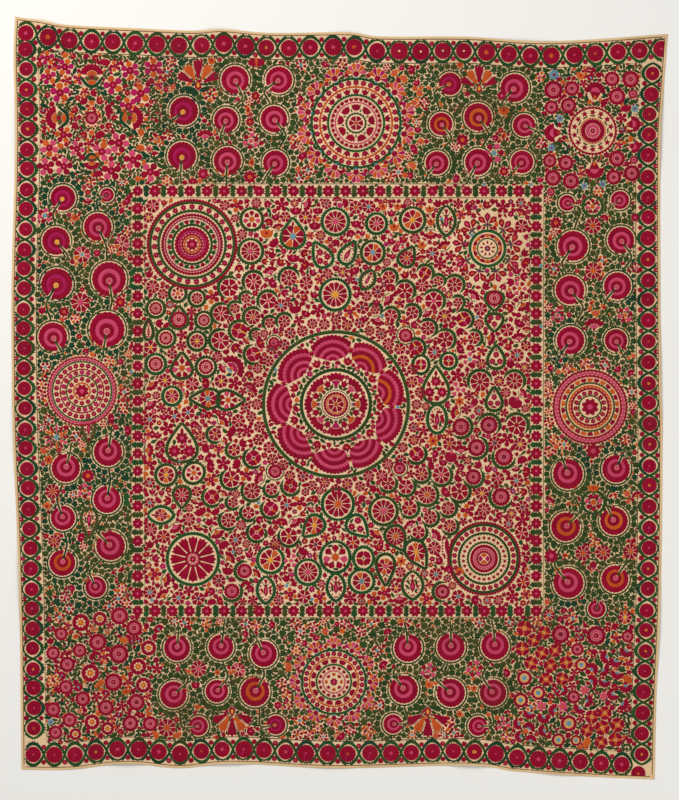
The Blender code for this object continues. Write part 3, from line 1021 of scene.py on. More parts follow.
def layFrame(kind, x, y, halfWidth, halfLength, aim, filling, dye="leaf", thick=1.1):
    path = framePath(kind, x, y, halfWidth, halfLength, aim)
    layStem(dye, path, thick, ends=(0.7, 0.7))
    layBarbs(dye, path, 0.84, 0.88, -1, thick)
    inner = min(halfWidth, halfLength) - thick * 0.5 - 0.16
    cx, cy = polar(x, y, halfLength * (0.22 if kind in ("drop", "heart") else 0.0), aim + 180)
    if filling == "wedges":
        wedgeFlower(cx, cy, inner, 9 if inner < 3 else 12, ("crimson",), pick(("pink", "orange", "gold")),
                    0.26)
    elif filling == "disc":
        layRing("crimson", cx, cy, inner, inner * 0.62, 12, 0, 0.10, steps=2)
        layRing("pink", cx, cy, inner * 0.60, inner * 0.36, 12, 0, 0.08, steps=2)
        roseFlower(cx, cy, inner * 0.34, "crimson", "pink")
    elif filling == "mixed":
        wedgeFlower(cx, cy, inner, 8, ("crimson", "orange", "crimson", "crimson"),
                    pick(("gold", "blue", "pink")), 0.26)
    elif filling == "four":
        wedgeFlower(cx, cy, inner, 4, ("crimson",), "violet", 0.14, aim + 45)
        for k in range(4):
            spoke = aim + 90 * k
            lay(pick(("orange", "pink", "gold")), "longLeaf", *polar(cx, cy, inner * 0.2, spoke),
                inner * 0.7, spoke, raised=0.1)
    elif filling == "fan":
        petalFlower(cx, cy, inner, 7, ("crimson", "crimson", "pink"), "orange", 0.3, aim)
    elif filling == "blossoms":
        for k in range(3):
            roseFlower(*polar(cx, cy, inner * 0.55, aim + 120 * k), inner * 0.42, "crimson", "pink")
    elif filling == "seeds":
        lay("crimson", "drop", *behind(cx, cy, halfLength * 0.5, aim), halfLength * 1.05, aim,
            0.55 * halfWidth / halfLength * 1.5)
        lay("pink", "drop", *behind(cx, cy, halfLength * 0.3, aim), halfLength * 0.5, aim, 0.5,
            raised=0.6)
        for px, py in framePath(kind, x, y, halfWidth * 0.70, halfLength * 0.74, aim, 16)[:-1]:
            lay("crimson", "rose5", px, py, 0.34, draw(0, 72))
    if kind in ("drop", "lens", "heart"):
        tx, ty = polar(x, y, halfLength * 0.42, aim)
        lay("crimson", "drop", tx, ty, halfLength * 0.36, aim, 0.8)
        for lean in (-120, 120):
            lay(dye, "leaf", *polar(x, y, halfLength * 0.25, aim), halfLength * 0.30, aim + lean * 0.4, 0.6)
    claim(cx, cy, min(halfWidth, halfLength) + 0.2)


def layCrescent(x, y, r, aim, petals):
    arc = circle(x, y, r, aim - 110, 220)
    layStem("leaf", arc, 1.12, ends=(0.2, 0.2))
    layBarbs("leaf", arc[2:-2], 0.84, 0.86, -1, 1.12)
    inner = r - 0.56
    if petals == 4:
        wedgeFlower(x, y, inner, 4, ("crimson",), None, 0.2, aim + 45)
        for k in range(4):
            spoke = aim + 90 * k
            lay(pick(("orange", "pink", "pink", "gold")), "longLeaf", *polar(x, y, inner * 0.12, spoke),
                inner * 0.82, spoke)
        lay(pick(("violet", "pink")), "disc", x, y, inner * 0.16, raised=0.3)
    elif petals == 0:
        discFlower(x, y, inner, lobes=16)
    else:
        wedgeFlower(x, y, inner, petals, ("crimson",), pick(("pink", "crimson", "orange")), 0.24)
    claim(x, y, r + 0.25)


# A ring's ornaments: shape, how far its foot lies in from the ring, and how wide it is
ringOrnaments = {"tulips": ("tulip", 0.5, 1.1), "cups": ("cup", 0.5, 1.0), "leaves": ("leaf", 0.5, 1.0),
                 "stars": ("star5", 0.0, 1.0), "roses": ("rose6", 0.0, 1.0)}


def layMedallionRing(x, y, kind, r, breadth, count, dye="crimson", other=None):
    other = other or dye
    if kind == "band":
        layRing(dye, x, y, r, r - breadth, count, 0, 0.22 / r)
    elif kind == "toothed":
        layRing(dye, x, y, r, r - breadth, count, 0, 0.45 / r, teeth=True)
    elif kind in ("barbed", "barbedIn"):
        spacing = fullTurn * r / count
        barbedRing(dye, x, y, r, breadth, spacing, spacing * 0.62, 1 if kind == "barbedIn" else -1)
    elif kind == "line":
        layStem(dye, circle(x, y, r), breadth, ends=(1, 1))
    elif kind == "heart":
        lay(dye, "rose8", x, y, r)
        lay(other, "disc", x, y, r * 0.32, raised=0.62)
    elif kind == "petals":
        wedgeFlower(x, y, r, count, (dye, other), None, 0.2, 0)
    else:
        for k in range(count):
            aim = 360 * k / count + 90
            px, py = polar(x, y, r, aim)
            tone = dye if k % 2 else other
            if kind == "dashes":
                layStem(tone, circle(x, y, r, aim - 120 / count, 240 / count), breadth)
            elif kind == "fans":
                layRingFan(px, py, breadth, aim, k)
            else:
                shape, back, wide = ringOrnaments[kind]
                lay(tone, shape, *behind(px, py, breadth * back, aim), breadth, aim, wide)
            if kind == "roses":
                lay("pink", "disc", px, py, breadth * 0.26, raised=0.6)


def layMedallion(x, y, rings):
    for ring in rings:
        layMedallionRing(x, y, *ring)
    keepBare(x, y, rings[1 if rings[0][0] == "fans" else 0][1])


ringFanDyes = (("pink", "orange"), ("magenta", "orange"), ("orange", "pink", "crimson"),
               ("pink", "orange", "magenta"))


def layRingFan(x, y, size, aim, number):
    dyes = ringFanDyes[number % 4]
    hub = behind(x, y, size * 0.22, aim)
    for k in range(6):
        lay(dyes[k % len(dyes)], "wedge12", *hub, size * 0.62, aim - 75 + 30 * k)
    lay("crimson", "bead", *hub, size * 0.17, raised=0.2)
    lay("vine", "calyx", *behind(*hub, size * 0.40, aim), size * 0.46, aim, 1.3, 0.1)
    lay("blue", "drop", *behind(*hub, size * 0.30, aim), size * 0.22, aim, raised=0.5)
    sx, sy = polar(*polar(x, y, size * 0.68, aim - 90), size * 0.32, aim + 180)
    lay("crimson", "star8", sx, sy, size * 0.19, aim)
    for lean in (-50, 50):
        lay(greenAt(x, y), "leaf", *polar(sx, sy, size * 0.22, aim), size * 0.34, aim + lean)
    keepBare(x, y, size * 0.4)


# Medallions: x, y, then rings from outside in: kind, radius, breadth, count, dye (crimson where none is
# given), second dye
medallions = {
    "topMiddle": (5.7, 95.4, [
        ("fans", 18.4, 6.2, 14), ("barbed", 15.4, 0.85, 84, "vine"), ("roses", 14.0, 1.1, 34),
        ("band", 13.0, 0.8, 60, "orange"), ("tulips", 11.2, 2.2, 22), ("barbed", 9.7, 0.75, 62, "vine"),
        ("tulips", 8.4, 1.5, 30), ("band", 7.6, 0.65, 44, "pink"), ("cups", 5.6, 2.5, 9),
        ("leaves", 4.6, 1.2, 18, "moss", "orange"), ("barbed", 3.3, 0.55, 22, "leaf"),
        ("petals", 2.6, 0, 6), ("heart", 0.7, 0, 0, "orange", "crimson")]),
    "bottomMiddle": (-2.0, -98.5, [
        ("fans", 13.6, 5.2, 12), ("barbed", 11.1, 0.75, 70, "vine"), ("roses", 9.8, 0.98, 30),
        ("band", 8.9, 0.7, 44, "orange"), ("cups", 7.4, 1.9, 15), ("barbed", 6.0, 0.6, 44, "vine"),
        ("tulips", 5.0, 1.3, 16), ("band", 4.2, 0.6, 26, "pink"),
        ("tulips", 2.7, 1.3, 8, "crimson", "orange"), ("heart", 1.4, 0, 0, "crimson", "pink")]),
    "left": (-89.4, 2.4, [
        ("toothed", 12.4, 0.9, 64), ("band", 11.5, 0.9, 56, "pink"), ("barbed", 10.2, 0.5, 66, "vine"),
        ("roses", 8.9, 1.0, 26), ("band", 7.9, 0.6, 40), ("roses", 6.5, 0.95, 19, "crimson", "magenta"),
        ("barbed", 5.4, 0.45, 36, "moss"), ("roses", 4.2, 0.95, 12), ("band", 3.2, 0.7, 18, "orange"),
        ("heart", 2.5, 0, 0, "crimson", "pink")]),
    "right": (86.9, -3.1, [
        ("toothed", 13.3, 1.05, 66), ("band", 12.25, 1.0, 56, "pink"), ("band", 11.25, 0.9, 50),
        ("cups", 9.5, 1.6, 26, "crimson", "orange"), ("barbed", 8.3, 0.6, 52, "moss"),
        ("band", 7.7, 0.8, 36, "orange"), ("band", 6.9, 0.9, 32), ("roses", 5.0, 0.95, 15),
        ("barbed", 3.9, 0.5, 26, "moss"), ("heart", 3.1, 0, 0, "crimson", "pink")]),
    "fieldTopLeft": (-51.2, 53.3, [
        ("toothed", 16.0, 1.1, 90), ("line", 14.5, 0.9, 0, "leaf"), ("roses", 13.05, 1.1, 27),
        ("barbed", 11.6, 0.9, 56, "leaf"), ("toothed", 10.95, 1.2, 64), ("band", 9.7, 0.7, 54, "magenta"),
        ("tulips", 8.1, 1.7, 26, "crimson", "vine"), ("barbed", 6.8, 0.8, 38, "leaf"),
        ("toothed", 6.25, 1.5, 30), ("band", 4.85, 0.95, 26, "magenta"), ("band", 3.9, 0.85, 20),
        ("band", 3.05, 0.8, 16, "orange"), ("heart", 2.2, 0, 0, "crimson", "pink")]),
    "fieldBottomRight": (50.1, -55.7, [
        ("toothed", 13.1, 1.0, 80), ("line", 11.7, 0.95, 0, "leaf"), ("roses", 10.3, 0.98, 30),
        ("barbedIn", 8.8, 0.8, 52, "leaf"), ("stars", 7.2, 0.85, 26), ("barbed", 5.6, 0.7, 36, "leaf"),
        ("band", 4.95, 1.15, 30), ("band", 3.8, 0.9, 24, "pink"), ("band", 2.9, 0.9, 20),
        ("petals", 2.0, 0, 4, "magenta", "orange")]),
    "fieldTopRight": (51.3, 51.9, [
        ("barbed", 6.1, 1.0, 40, "vine"), ("cups", 4.6, 1.45, 16, "crimson", "orange"),
        ("line", 3.5, 0.5, 0, "moss"), ("leaves", 2.15, 1.35, 9),
        ("heart", 1.15, 0, 0, "crimson", "blue")]),
    "fieldBottomLeft": (-50.9, -55.9, [
        ("barbed", 8.9, 1.1, 54, "vine"), ("petals", 8.1, 0, 12), ("band", 2.9, 0.8, 20),
        ("band", 2.1, 0.6, 14, "pink"), ("heart", 1.4, 0, 0, "crimson", "pink")]),
    "cornerTopRight": (87.8, 92.7, [
        ("toothed", 8.7, 1.05, 44), ("stars", 6.45, 1.22, 14), ("dashes", 5.25, 0.55, 12, "moss"),
        ("band", 4.7, 0.4, 30, "orange"), ("band", 4.25, 1.65, 26), ("band", 2.55, 1.4, 18, "pink"),
        ("heart", 1.1, 0, 0, "crimson", "pink")]),
}

# The middle medallion: nine banded shells round a flower wheel
middleMedallion = {
    "x": -1.3, "y": -2.2, "ring": 25.1, "shellFoot": 14.8, "shellReach": 9.5, "shellSpread": 71,
    "shellAims": (94, 55, 15, -20, -60, -92, -138, 180, 137), "innerRing": 12.0,
}


def layShell(x, y, aim):
    make = middleMedallion
    foot = make["shellFoot"]
    fx, fy = polar(x, y, foot, aim)
    aims = make["shellAims"]
    # each side is cut straight along the middle of the gap to the next shell
    gaps = [min((other - aim) % 360 for other in aims if other != aim),
            min((aim - other) % 360 for other in aims if other != aim)]
    dyes = ["crimson", "pink", "crimson", "pink", "crimson", "pink", "crimson"]
    if aim in (55, 15):
        dyes[3] = "orange"
    rails = []
    share = np.linspace(0, 1, 37)
    for edge in (1.0, 0.82, 0.69, 0.54, 0.42, 0.29, 0.18, 0.06):
        radius = edge * make["shellReach"]
        limits = []
        for gap in gaps:
            half = math.radians(gap / 2 - 0.9)
            limits.append(min(math.radians(make["shellSpread"]),
                              half + math.asin(min(foot * math.sin(half) / radius, 1.0))))
        angles = math.radians(aim) - limits[1] + share * (limits[0] + limits[1])
        waved = radius * (1 - 0.045 * (1 - np.abs(np.sin(share * 12 * math.pi))))
        rails.append(rimPoints(fx, fy, waved, angles) * cm)
    for k, dye in enumerate(dyes):
        layBand(dye, rails[k + 1], rails[k], closed=False)
    lay("leaf", "longLeaf", *behind(fx, fy, 2.3, aim), 2.2, aim, 1.3)


def layMiddleMedallion():
    make = middleMedallion
    x, y = make["x"], make["y"]
    barbedRing("leaf", x, y, make["ring"], 1.15, 0.95, 0.90)
    for aim in make["shellAims"]:
        layShell(x, y, aim)
    aims = sorted(make["shellAims"])
    for here, after in zip(aims, aims[1:] + [aims[0] + 360]):
        between = (here + after) / 2
        px, py = polar(x, y, 15.7, between)
        for lean in (-72, 72):
            lay("orange" if lean > 0 else "pink", "petal", *behind(px, py, 0.8, between), 1.9,
                between + lean, 0.8)
        lay("crimson", "tulip", *behind(px, py, 1.7, between), 3.3, between, 0.9, raised=0.15)
        lay("orange", "drop", *behind(px, py, 0.7, between), 1.0, between, raised=0.8)
        for lean in (-42, 42):
            lay("leaf", "leaf", *polar(x, y, 13.2, between), 2.6, between + lean * 1.9, 0.9)
        bud(*polar(x, y, 19.6, between), 2.3, between, "crimson", "orange", "leaf")
        lay("leaf", "leaf", *polar(x, y, 22.0, between), 2.0, between, 0.9)
    layMedallion(x, y, [
        ("barbed", make["innerRing"], 1.15, 56, "leaf"), ("line", 4.9, 0.3, 0, "moss"),
        ("band", 4.4, 0.9, 24, "crimson"), ("band", 3.5, 0.6, 20, "orange"), ("petals", 2.9, 0, 7, "crimson"),
        ("heart", 0.8, 0, 0, "orange", "crimson")])
    for k in range(8):
        aim = 45 * k
        layCarnation(*polar(x, y, 8.3, aim), 5.3, aim, 5, "crimson",
                     ("orange", "pink", "magenta", "orange")[k % 4], None, 84)
        lay(("blue", "leaf")[k % 2], "leaf", *polar(*polar(x, y, 5.6, aim), 0.8, aim + 90), 1.6, aim - 90,
            0.7, raised=0.3)
        qx, qy = polar(x, y, 10.1, aim + 22.5)
        roseFlower(qx, qy, 0.9, "crimson", "pink", 6)
        lay("crimson", "tulip", *polar(x, y, 6.3, aim + 22.5), 2.9, aim + 22.5, 0.8)
        for lean in (-1, 1):
            lay("moss", "leaf", *polar(x, y, 5.3, aim + 22.5), 2.4, aim + 22.5 + lean * 48, 0.9)
    for k in range(44):                               # a garland of small flowers round the ring
        aim = 360 * k / 44
        r = 28.6 + (0.9 if k % 2 else -0.9)
        fx, fy = polar(x, y, r + draw(-0.4, 0.4), aim)
        wedgeFlower(fx, fy, vary(2.05), pick((6, 7, 8)), ("crimson",),
                    pick(("pink", "violet", "crimson", "orange")), 0.26)


# Framed flowers in the field. Rows: frame, x, y, half width, half length, aim, filling, and dye where it
# isn't leaf green
fieldFrames = [
    ("round", -1.5, 61.2, 4.6, 4.6, 90, "wedges", "vine"),
    ("round", -1.6, 35.9, 5.2, 5.4, 90, "wedges", "vine"),
    ("drop", -16.2, 57.3, 4.8, 5.4, 90, "mixed", "vine"),
    ("drop", -6.5, 50.0, 3.8, 4.9, 120, "blossoms", "vine"),
    ("drop", 3.2, 50.7, 3.1, 4.5, 60, "seeds", "vine"), ("round", 11.5, 50.5, 4.0, 4.0, 90, "mixed"),
    ("round", 12.8, 60.5, 3.5, 3.5, 90, "wedges", "vine"), ("round", 25.3, 61.8, 4.3, 4.3, 90, "mixed"),
    ("drop", 23.7, 49.3, 3.3, 3.9, 60, "wedges"), ("lens", 9.7, 41.0, 2.4, 3.7, 60, "seeds"),
    ("lens", 37.0, 61.5, 3.1, 5.2, 90, "seeds"), ("round", -30.9, 50.9, 4.2, 4.2, 90, "wedges"),
    ("round", -30.5, 62.0, 3.8, 3.8, 90, "fan"), ("round", -63.8, 31.1, 3.1, 3.1, 90, "disc"),
    ("drop", -55.8, 28.1, 3.7, 4.0, 90, "disc"), ("round", -47.1, 27.0, 2.9, 2.9, 90, "disc"),
    ("round", -56.2, 36.3, 2.9, 2.9, 90, "fan"), ("round", -49.5, 34.6, 2.8, 2.8, 90, "wedges"),
    ("round", -60.3, 20.8, 3.2, 3.2, 90, "disc"), ("round", -49.5, 19.8, 3.2, 3.2, 90, "wedges"),
    ("heart", 53.7, 33.8, 3.7, 3.6, 270, "disc"), ("heart", 53.7, 26.4, 3.5, 3.4, 270, "blossoms"),
    ("drop", -66.3, 24.0, 1.9, 3.8, 90, "seeds"), ("round", -63.8, 11.8, 3.4, 3.4, 90, "disc", "vine"),
    ("drop", -54.7, 11.4, 4.2, 4.6, 90, "fan"), ("round", -46.4, 10.8, 3.4, 3.4, 45, "disc"),
    ("round", -58.2, 0.7, 3.2, 3.2, 90, "mixed", "vine"), ("drop", -46.9, -0.2, 3.9, 5.4, 180, "mixed"),
    ("drop", -37.6, -0.7, 3.9, 5.0, 0, "fan"), ("drop", -54.7, -15.4, 6.2, 6.8, 90, "blossoms"),
    ("round", -60.2, -26.7, 3.6, 3.7, 45, "mixed"), ("round", -50.6, -26.0, 3.5, 3.8, 45, "fan"),
    ("drop", -54.7, -34.5, 3.5, 3.9, 270, "wedges"),
    ("lens", -62.0, -40.6, 3.0, 4.5, 180, "mixed", "vine"),
    ("round", -24.0, -56.2, 4.5, 4.5, 90, "mixed", "vine"),
    ("lens", -25.6, -66.6, 3.0, 4.7, 90, "seeds", "vine"),
    ("round", -0.6, -36.8, 5.4, 5.4, 270, "wedges", "vine"),
    ("drop", -9.5, -44.9, 3.9, 4.6, 225, "mixed", "vine"),
    ("drop", 6.6, -44.9, 3.9, 4.6, 315, "blossoms", "vine"),
    ("round", 15.2, -39.2, 4.8, 4.8, 90, "wedges"), ("round", -1.5, -55.2, 5.1, 5.4, 90, "fan", "vine"),
    ("round", 8.3, -55.6, 3.5, 3.9, 270, "four", "vine"),
    ("round", -11.0, -60.4, 4.3, 4.3, 90, "wedges", "vine"),
    ("round", 7.6, -63.6, 4.3, 4.0, 90, "mixed", "vine"),
    ("lens", -1.3, -65.6, 3.1, 4.9, 90, "seeds", "vine"), ("drop", 15.9, -59.7, 3.7, 5.6, 270, "mixed"),
    ("drop", 19.9, -48.9, 4.0, 4.8, 300, "wedges"), ("drop", 27.2, -54.5, 4.1, 5.6, 300, "mixed"),
    ("lens", 25.3, -65.0, 3.6, 4.9, 90, "seeds"), ("drop", 54.3, 14.4, 3.5, 4.2, 90, "blossoms"),
    ("drop", 33.4, 4.7, 5.3, 6.6, 90, "blossoms"), ("round", 33.8, -7.3, 3.3, 4.9, 90, "seeds", "vine"),
    ("drop", 53.6, -0.2, 3.3, 4.2, 90, "blossoms"), ("round", 37.8, 12.9, 2.8, 2.8, 90, "four", "vine"),
    ("round", 28.2, 11.6, 2.8, 3.2, 90, "four"),
]

# Crescent flowers in the field. Rows: x, y, radius, aim of the green arc, petals (0 for a banded disc)
crescentRows = [
    (-38.3, 38.3, 3.8, 150, 6), (-29.9, 40.4, 3.6, 120, 8), (-32.5, 34.6, 2.3, 135, 6),
    (-24.9, 33.7, 3.5, 120, 6), (-36.3, 31.1, 2.4, 150, 6), (-30.1, 28.1, 3.3, 140, 9),
    (-41.1, 29.3, 3.5, 160, 8), (-34.8, 23.3, 3.5, 160, 4), (-24.2, 26.0, 2.4, 135, 6),
    (-29.0, 21.9, 2.1, 150, 6), (-19.2, 26.6, 2.8, 120, 8), (-17.6, 41.7, 3.5, 110, 9),
    (17.1, 41.9, 2.9, 60, 6), (29.6, 43.3, 2.9, 60, 4), (22.6, 37.2, 3.5, 50, 6),
    (17.8, 28.6, 2.9, 45, 6), (25.2, 29.6, 2.9, 50, 6), (30.6, 24.2, 3.1, 40, 8),
    (32.6, 33.7, 3.8, 50, 6), (39.9, 39.3, 3.3, 50, 8), (34.3, 40.6, 2.3, 60, 6),
    (41.0, 33.2, 2.3, 40, 6), (43.0, 27.3, 3.3, 30, 4), (36.6, 20.3, 3.5, 30, 6),
    (46.6, 20.8, 2.8, 20, 6), (12.3, 30.6, 2.3, 60, 6), (-41.4, 20.0, 3.8, 170, 7),
    (26.5, 17.4, 3.2, 30, 4), (48.7, 5.6, 4.1, 110, 9), (60.6, 5.9, 3.6, 60, 9), (61.4, -9.4, 4.0, 60, 7),
    (-29.9, 15.2, 3.3, 200, 4), (42.1, -10.0, 3.8, 330, 0), (51.8, -9.4, 3.8, 60, 0),
    (47.5, -17.2, 3.8, 330, 0), (57.0, -20.4, 3.9, 250, 0), (46.4, -27.4, 3.5, 300, 0),
    (56.0, -34.3, 3.9, 240, 0), (35.7, -67.2, 3.3, 180, 0), (26.7, -19.4, 3.3, 310, 4),
    (35.2, -26.7, 3.7, 310, 8), (28.4, -26.4, 3.0, 310, 8), (41.6, -32.4, 3.7, 310, 6),
    (30.3, -33.6, 3.8, 320, 12), (23.0, -30.8, 3.2, 310, 6), (37.6, -38.2, 3.0, 310, 8),
    (31.4, -41.4, 3.0, 310, 8), (24.2, -38.2, 3.3, 310, 7), (38.2, -44.4, 2.9, 310, 9),
    (16.8, -29.6, 3.0, 300, 6), (27.4, -46.6, 2.9, 300, 6), (-37.6, -28.1, 3.6, 220, 6),
    (-44.3, -34.3, 3.3, 220, 4), (-30.4, -32.2, 3.5, 230, 9), (-23.6, -31.6, 2.7, 240, 6),
    (-17.0, -30.5, 3.2, 250, 4), (-37.0, -36.2, 2.4, 225, 6), (-38.6, -42.4, 3.2, 220, 9),
    (-31.6, -39.8, 2.8, 225, 6), (-23.9, -38.4, 3.3, 235, 4), (-28.8, -46.6, 3.3, 220, 4),
    (-33.0, -60.0, 3.3, 180, 0), (-37.4, -67.0, 3.4, 300, 0), (-17.6, -47.9, 3.6, 250, 6),
    (-29.9, -20.8, 3.4, 215, 4), (-36.6, -18.0, 2.8, 215, 6), (-43.2, -12.6, 2.9, 200, 6),
]

# Banded discs and fans standing alone in the field. Runs of a kind, with x, y, size, and aim where it isn't 0
fieldFlowers = [
    ("disc", [(-22.8, 19.2, 2.1), (22.9, 21.7, 2.6), (-22.4, -25.4, 2.6), (20.8, -24.4, 2.3)]),
    ("openFan", [(-36.2, 11.6, 7.6, 45), (-31.0, 4.0, 4.4, 60), (-0.9, 69.0, 2.8, 90)]),
    ("tulip", [
        (-8.6, 59.8, 3.0, 90), (-7.6, 65.0, 2.6, 90), (-15.2, 65.0, 3.0, 90), (-9.2, 43.6, 2.8, 60),
        (-1.3, 45.2, 2.6, 90), (5.0, 44.2, 3.0, 110), (5.7, 60.5, 2.9, 90), (7.8, 57.3, 2.4, 90)]),
    ("orangeTulip", [(-25.3, 57.2, 3.0, 90)]),
    ("tulip", [
        (18.0, 54.5, 2.8, 70), (18.4, 49.3, 2.6, 90), (18.0, 64.2, 2.8, 90), (12.8, 33.3, 2.8, 80),
        (8.8, 27.6, 2.6, 80), (5.7, 35.9, 2.8, 110), (-8.8, 35.9, 2.8, 70), (-11.7, 29.3, 2.7, 70),
        (-15.3, 37.6, 2.8, 60), (-22.2, 62.8, 2.7, 80)]),
    ("orangeTulip", [
        (15.0, 66.5, 2.6, 90), (20.1, 66.5, 2.4, 90), (18.9, 59.4, 2.8, 90), (31.6, 61.2, 2.6, 90),
        (28.6, 53.2, 2.8, 60), (31.2, 65.6, 2.4, 90)]),
    ("fan", [(62.9, 64.4, 4.2, 60)]),
    ("tulip", [(43.6, 53.6, 2.8, 90)]),
    ("six", [(41.6, 46.2, 2.8)]),
    ("tulip", [(61.4, 44.4, 3.0, 80)]),
    ("six", [(62.4, 38.0, 2.6)]),
    ("tulip", [(62.4, 26.0, 3.0, 60)]),
    ("six", [(45.2, 13.4, 2.6), (41.0, 3.0, 2.8)]),
    ("tulip", [(42.0, 17.0, 3.0, 20)]),
    ("star", [(32.4, -14.9, 2.6), (41.6, -1.2, 2.2)]),
    ("bud", [
        (61.0, -1.4, 4.0, 60), (59.2, 12.2, 3.6, 100), (46.6, -1.8, 3.6, 240), (38.6, -20.2, 3.8, 80),
        (46.2, 11.6, 2.8, 80)]),
    ("six", [(-55.6, -22.0, 1.6)]),
    ("tulip", [
        (-61.0, -6.4, 3.0, 90), (-63.2, -12.8, 2.8, 80), (-45.6, -21.0, 2.8, 40), (-62.6, -19.6, 2.8, 80)]),
    ("six", [(-16.8, -56.4, 2.6)]),
    ("star", [(21.4, -56.6, 2.3)]),
    ("tulip", [(-65.0, -32.4, 2.4, 90), (-61.8, -32.8, 2.4, 90)]),
    ("wedgeFan", [(37.2, -51.6, 6.2, 270)]),
    ("orangeTulip", [(41.6, -60.2, 2.6, 270)]),
    ("tulip", [(37.9, -59.6, 3.4, 270)]),
    ("wedge", [(-22.4, -50.8, 2.2)]),
    ("six", [(-29.2, -73.4, 1.8)]),
]


def layFieldFlower(kind, x, y, size, aim=0):
    if kind == "disc":
        barbedRing("leaf", x, y, size + 0.45, 0.40, 0.6, 0.3)
        discFlower(x, y, size, lobes=12)
        claim(x, y, size + 0.8)
    elif kind == "openFan":
        size *= 0.66
        layCarnation(x, y, size, aim, 9, "crimson", "magenta", None, 170)
        foot = behind(x, y, size * 0.46, aim)
        lay("orange", "rose5", *polar(*foot, size * 0.12, aim), size * 0.14, aim, raised=0.7)
        for lean in (-75, 0, 75):
            lay("blue", "drop", *behind(*foot, size * 0.04, aim), size * 0.24, aim + 180 + lean,
                raised=0.4)
    elif kind == "wedgeFan":
        lay("crimson", "drop", *behind(x, y, size * 0.5, aim), size, aim, 0.42)
        for lean in (-1, 1):
            for step in range(6):
                place = polar(x, y, size * (0.42 - 0.16 * step), aim)
                lay("crimson", "rose5", *polar(*place, size * 0.24, aim + 90 * lean), 0.42)
        claim(x, y, size * 0.42)
    else:
        layBedFlower(kind, x, y, size, aim)


# Inner border: two lines with rosettes and ivy leaves between them
innerBorder = {
    "left": -70.1, "right": 68.2, "top": 71.8, "bottom": -73.9, "half": 2.4, "pitch": 6.1, "rosette": 2.15,
    "leaf": 2.3,
}


def layInnerBorder():
    needle["zone"] = "field"
    make = innerBorder
    for offset in (-make["half"], make["half"]):
        left, right = make["left"] + offset, make["right"] - offset
        top, bottom = make["top"] - offset, make["bottom"] + offset
        for path in ([(left, top), (right, top)], [(left, bottom), (right, bottom)],
                     [(left, top), (left, bottom)], [(right, top), (right, bottom)]):
            wobble = smoothPath(path, 60)
            for dye, shift in (("umber", 0.0), ("olive", 0.24)):
                layStem(dye, wobble + shift, 0.14)
    corners = [(make["left"], make["top"]), (make["right"], make["top"]), (make["right"], make["bottom"]),
               (make["left"], make["bottom"])]
    for k in range(4):
        start, end = np.array(corners[k]), np.array(corners[(k + 1) % 4])
        long = np.hypot(*(end - start))
        count = int(round(long / make["pitch"]))
        aim = math.degrees(math.atan2(end[1] - start[1], end[0] - start[0]))
        for j in range(count):
            x, y = start + (end - start) * j / count
            size = vary(make["rosette"], 0.08)
            lay("crimson", "rose8", x, y, size, aim)
            lay("pink", "disc", x, y, size * 0.22, raised=0.6)
            lay("leaf", "longLeaf", *polar(x, y, size * 0.35, aim), size * 0.75, aim, raised=0.3)
            claim(x, y, size + 0.1)
            x, y = start + (end - start) * (j + 0.5) / count
            for side in (90, -90):
                lx, ly = polar(x, y, 1.1, aim + side)
                lay(greenAt(x, y), "ivy", lx, ly, vary(make["leaf"] * 0.9), aim + side + draw(-30, 30))
                claim(lx, ly, 0.8)
            lay("leaf", "longLeaf", *behind(x, y, 1.2, aim), 2.4, aim, 1.2)


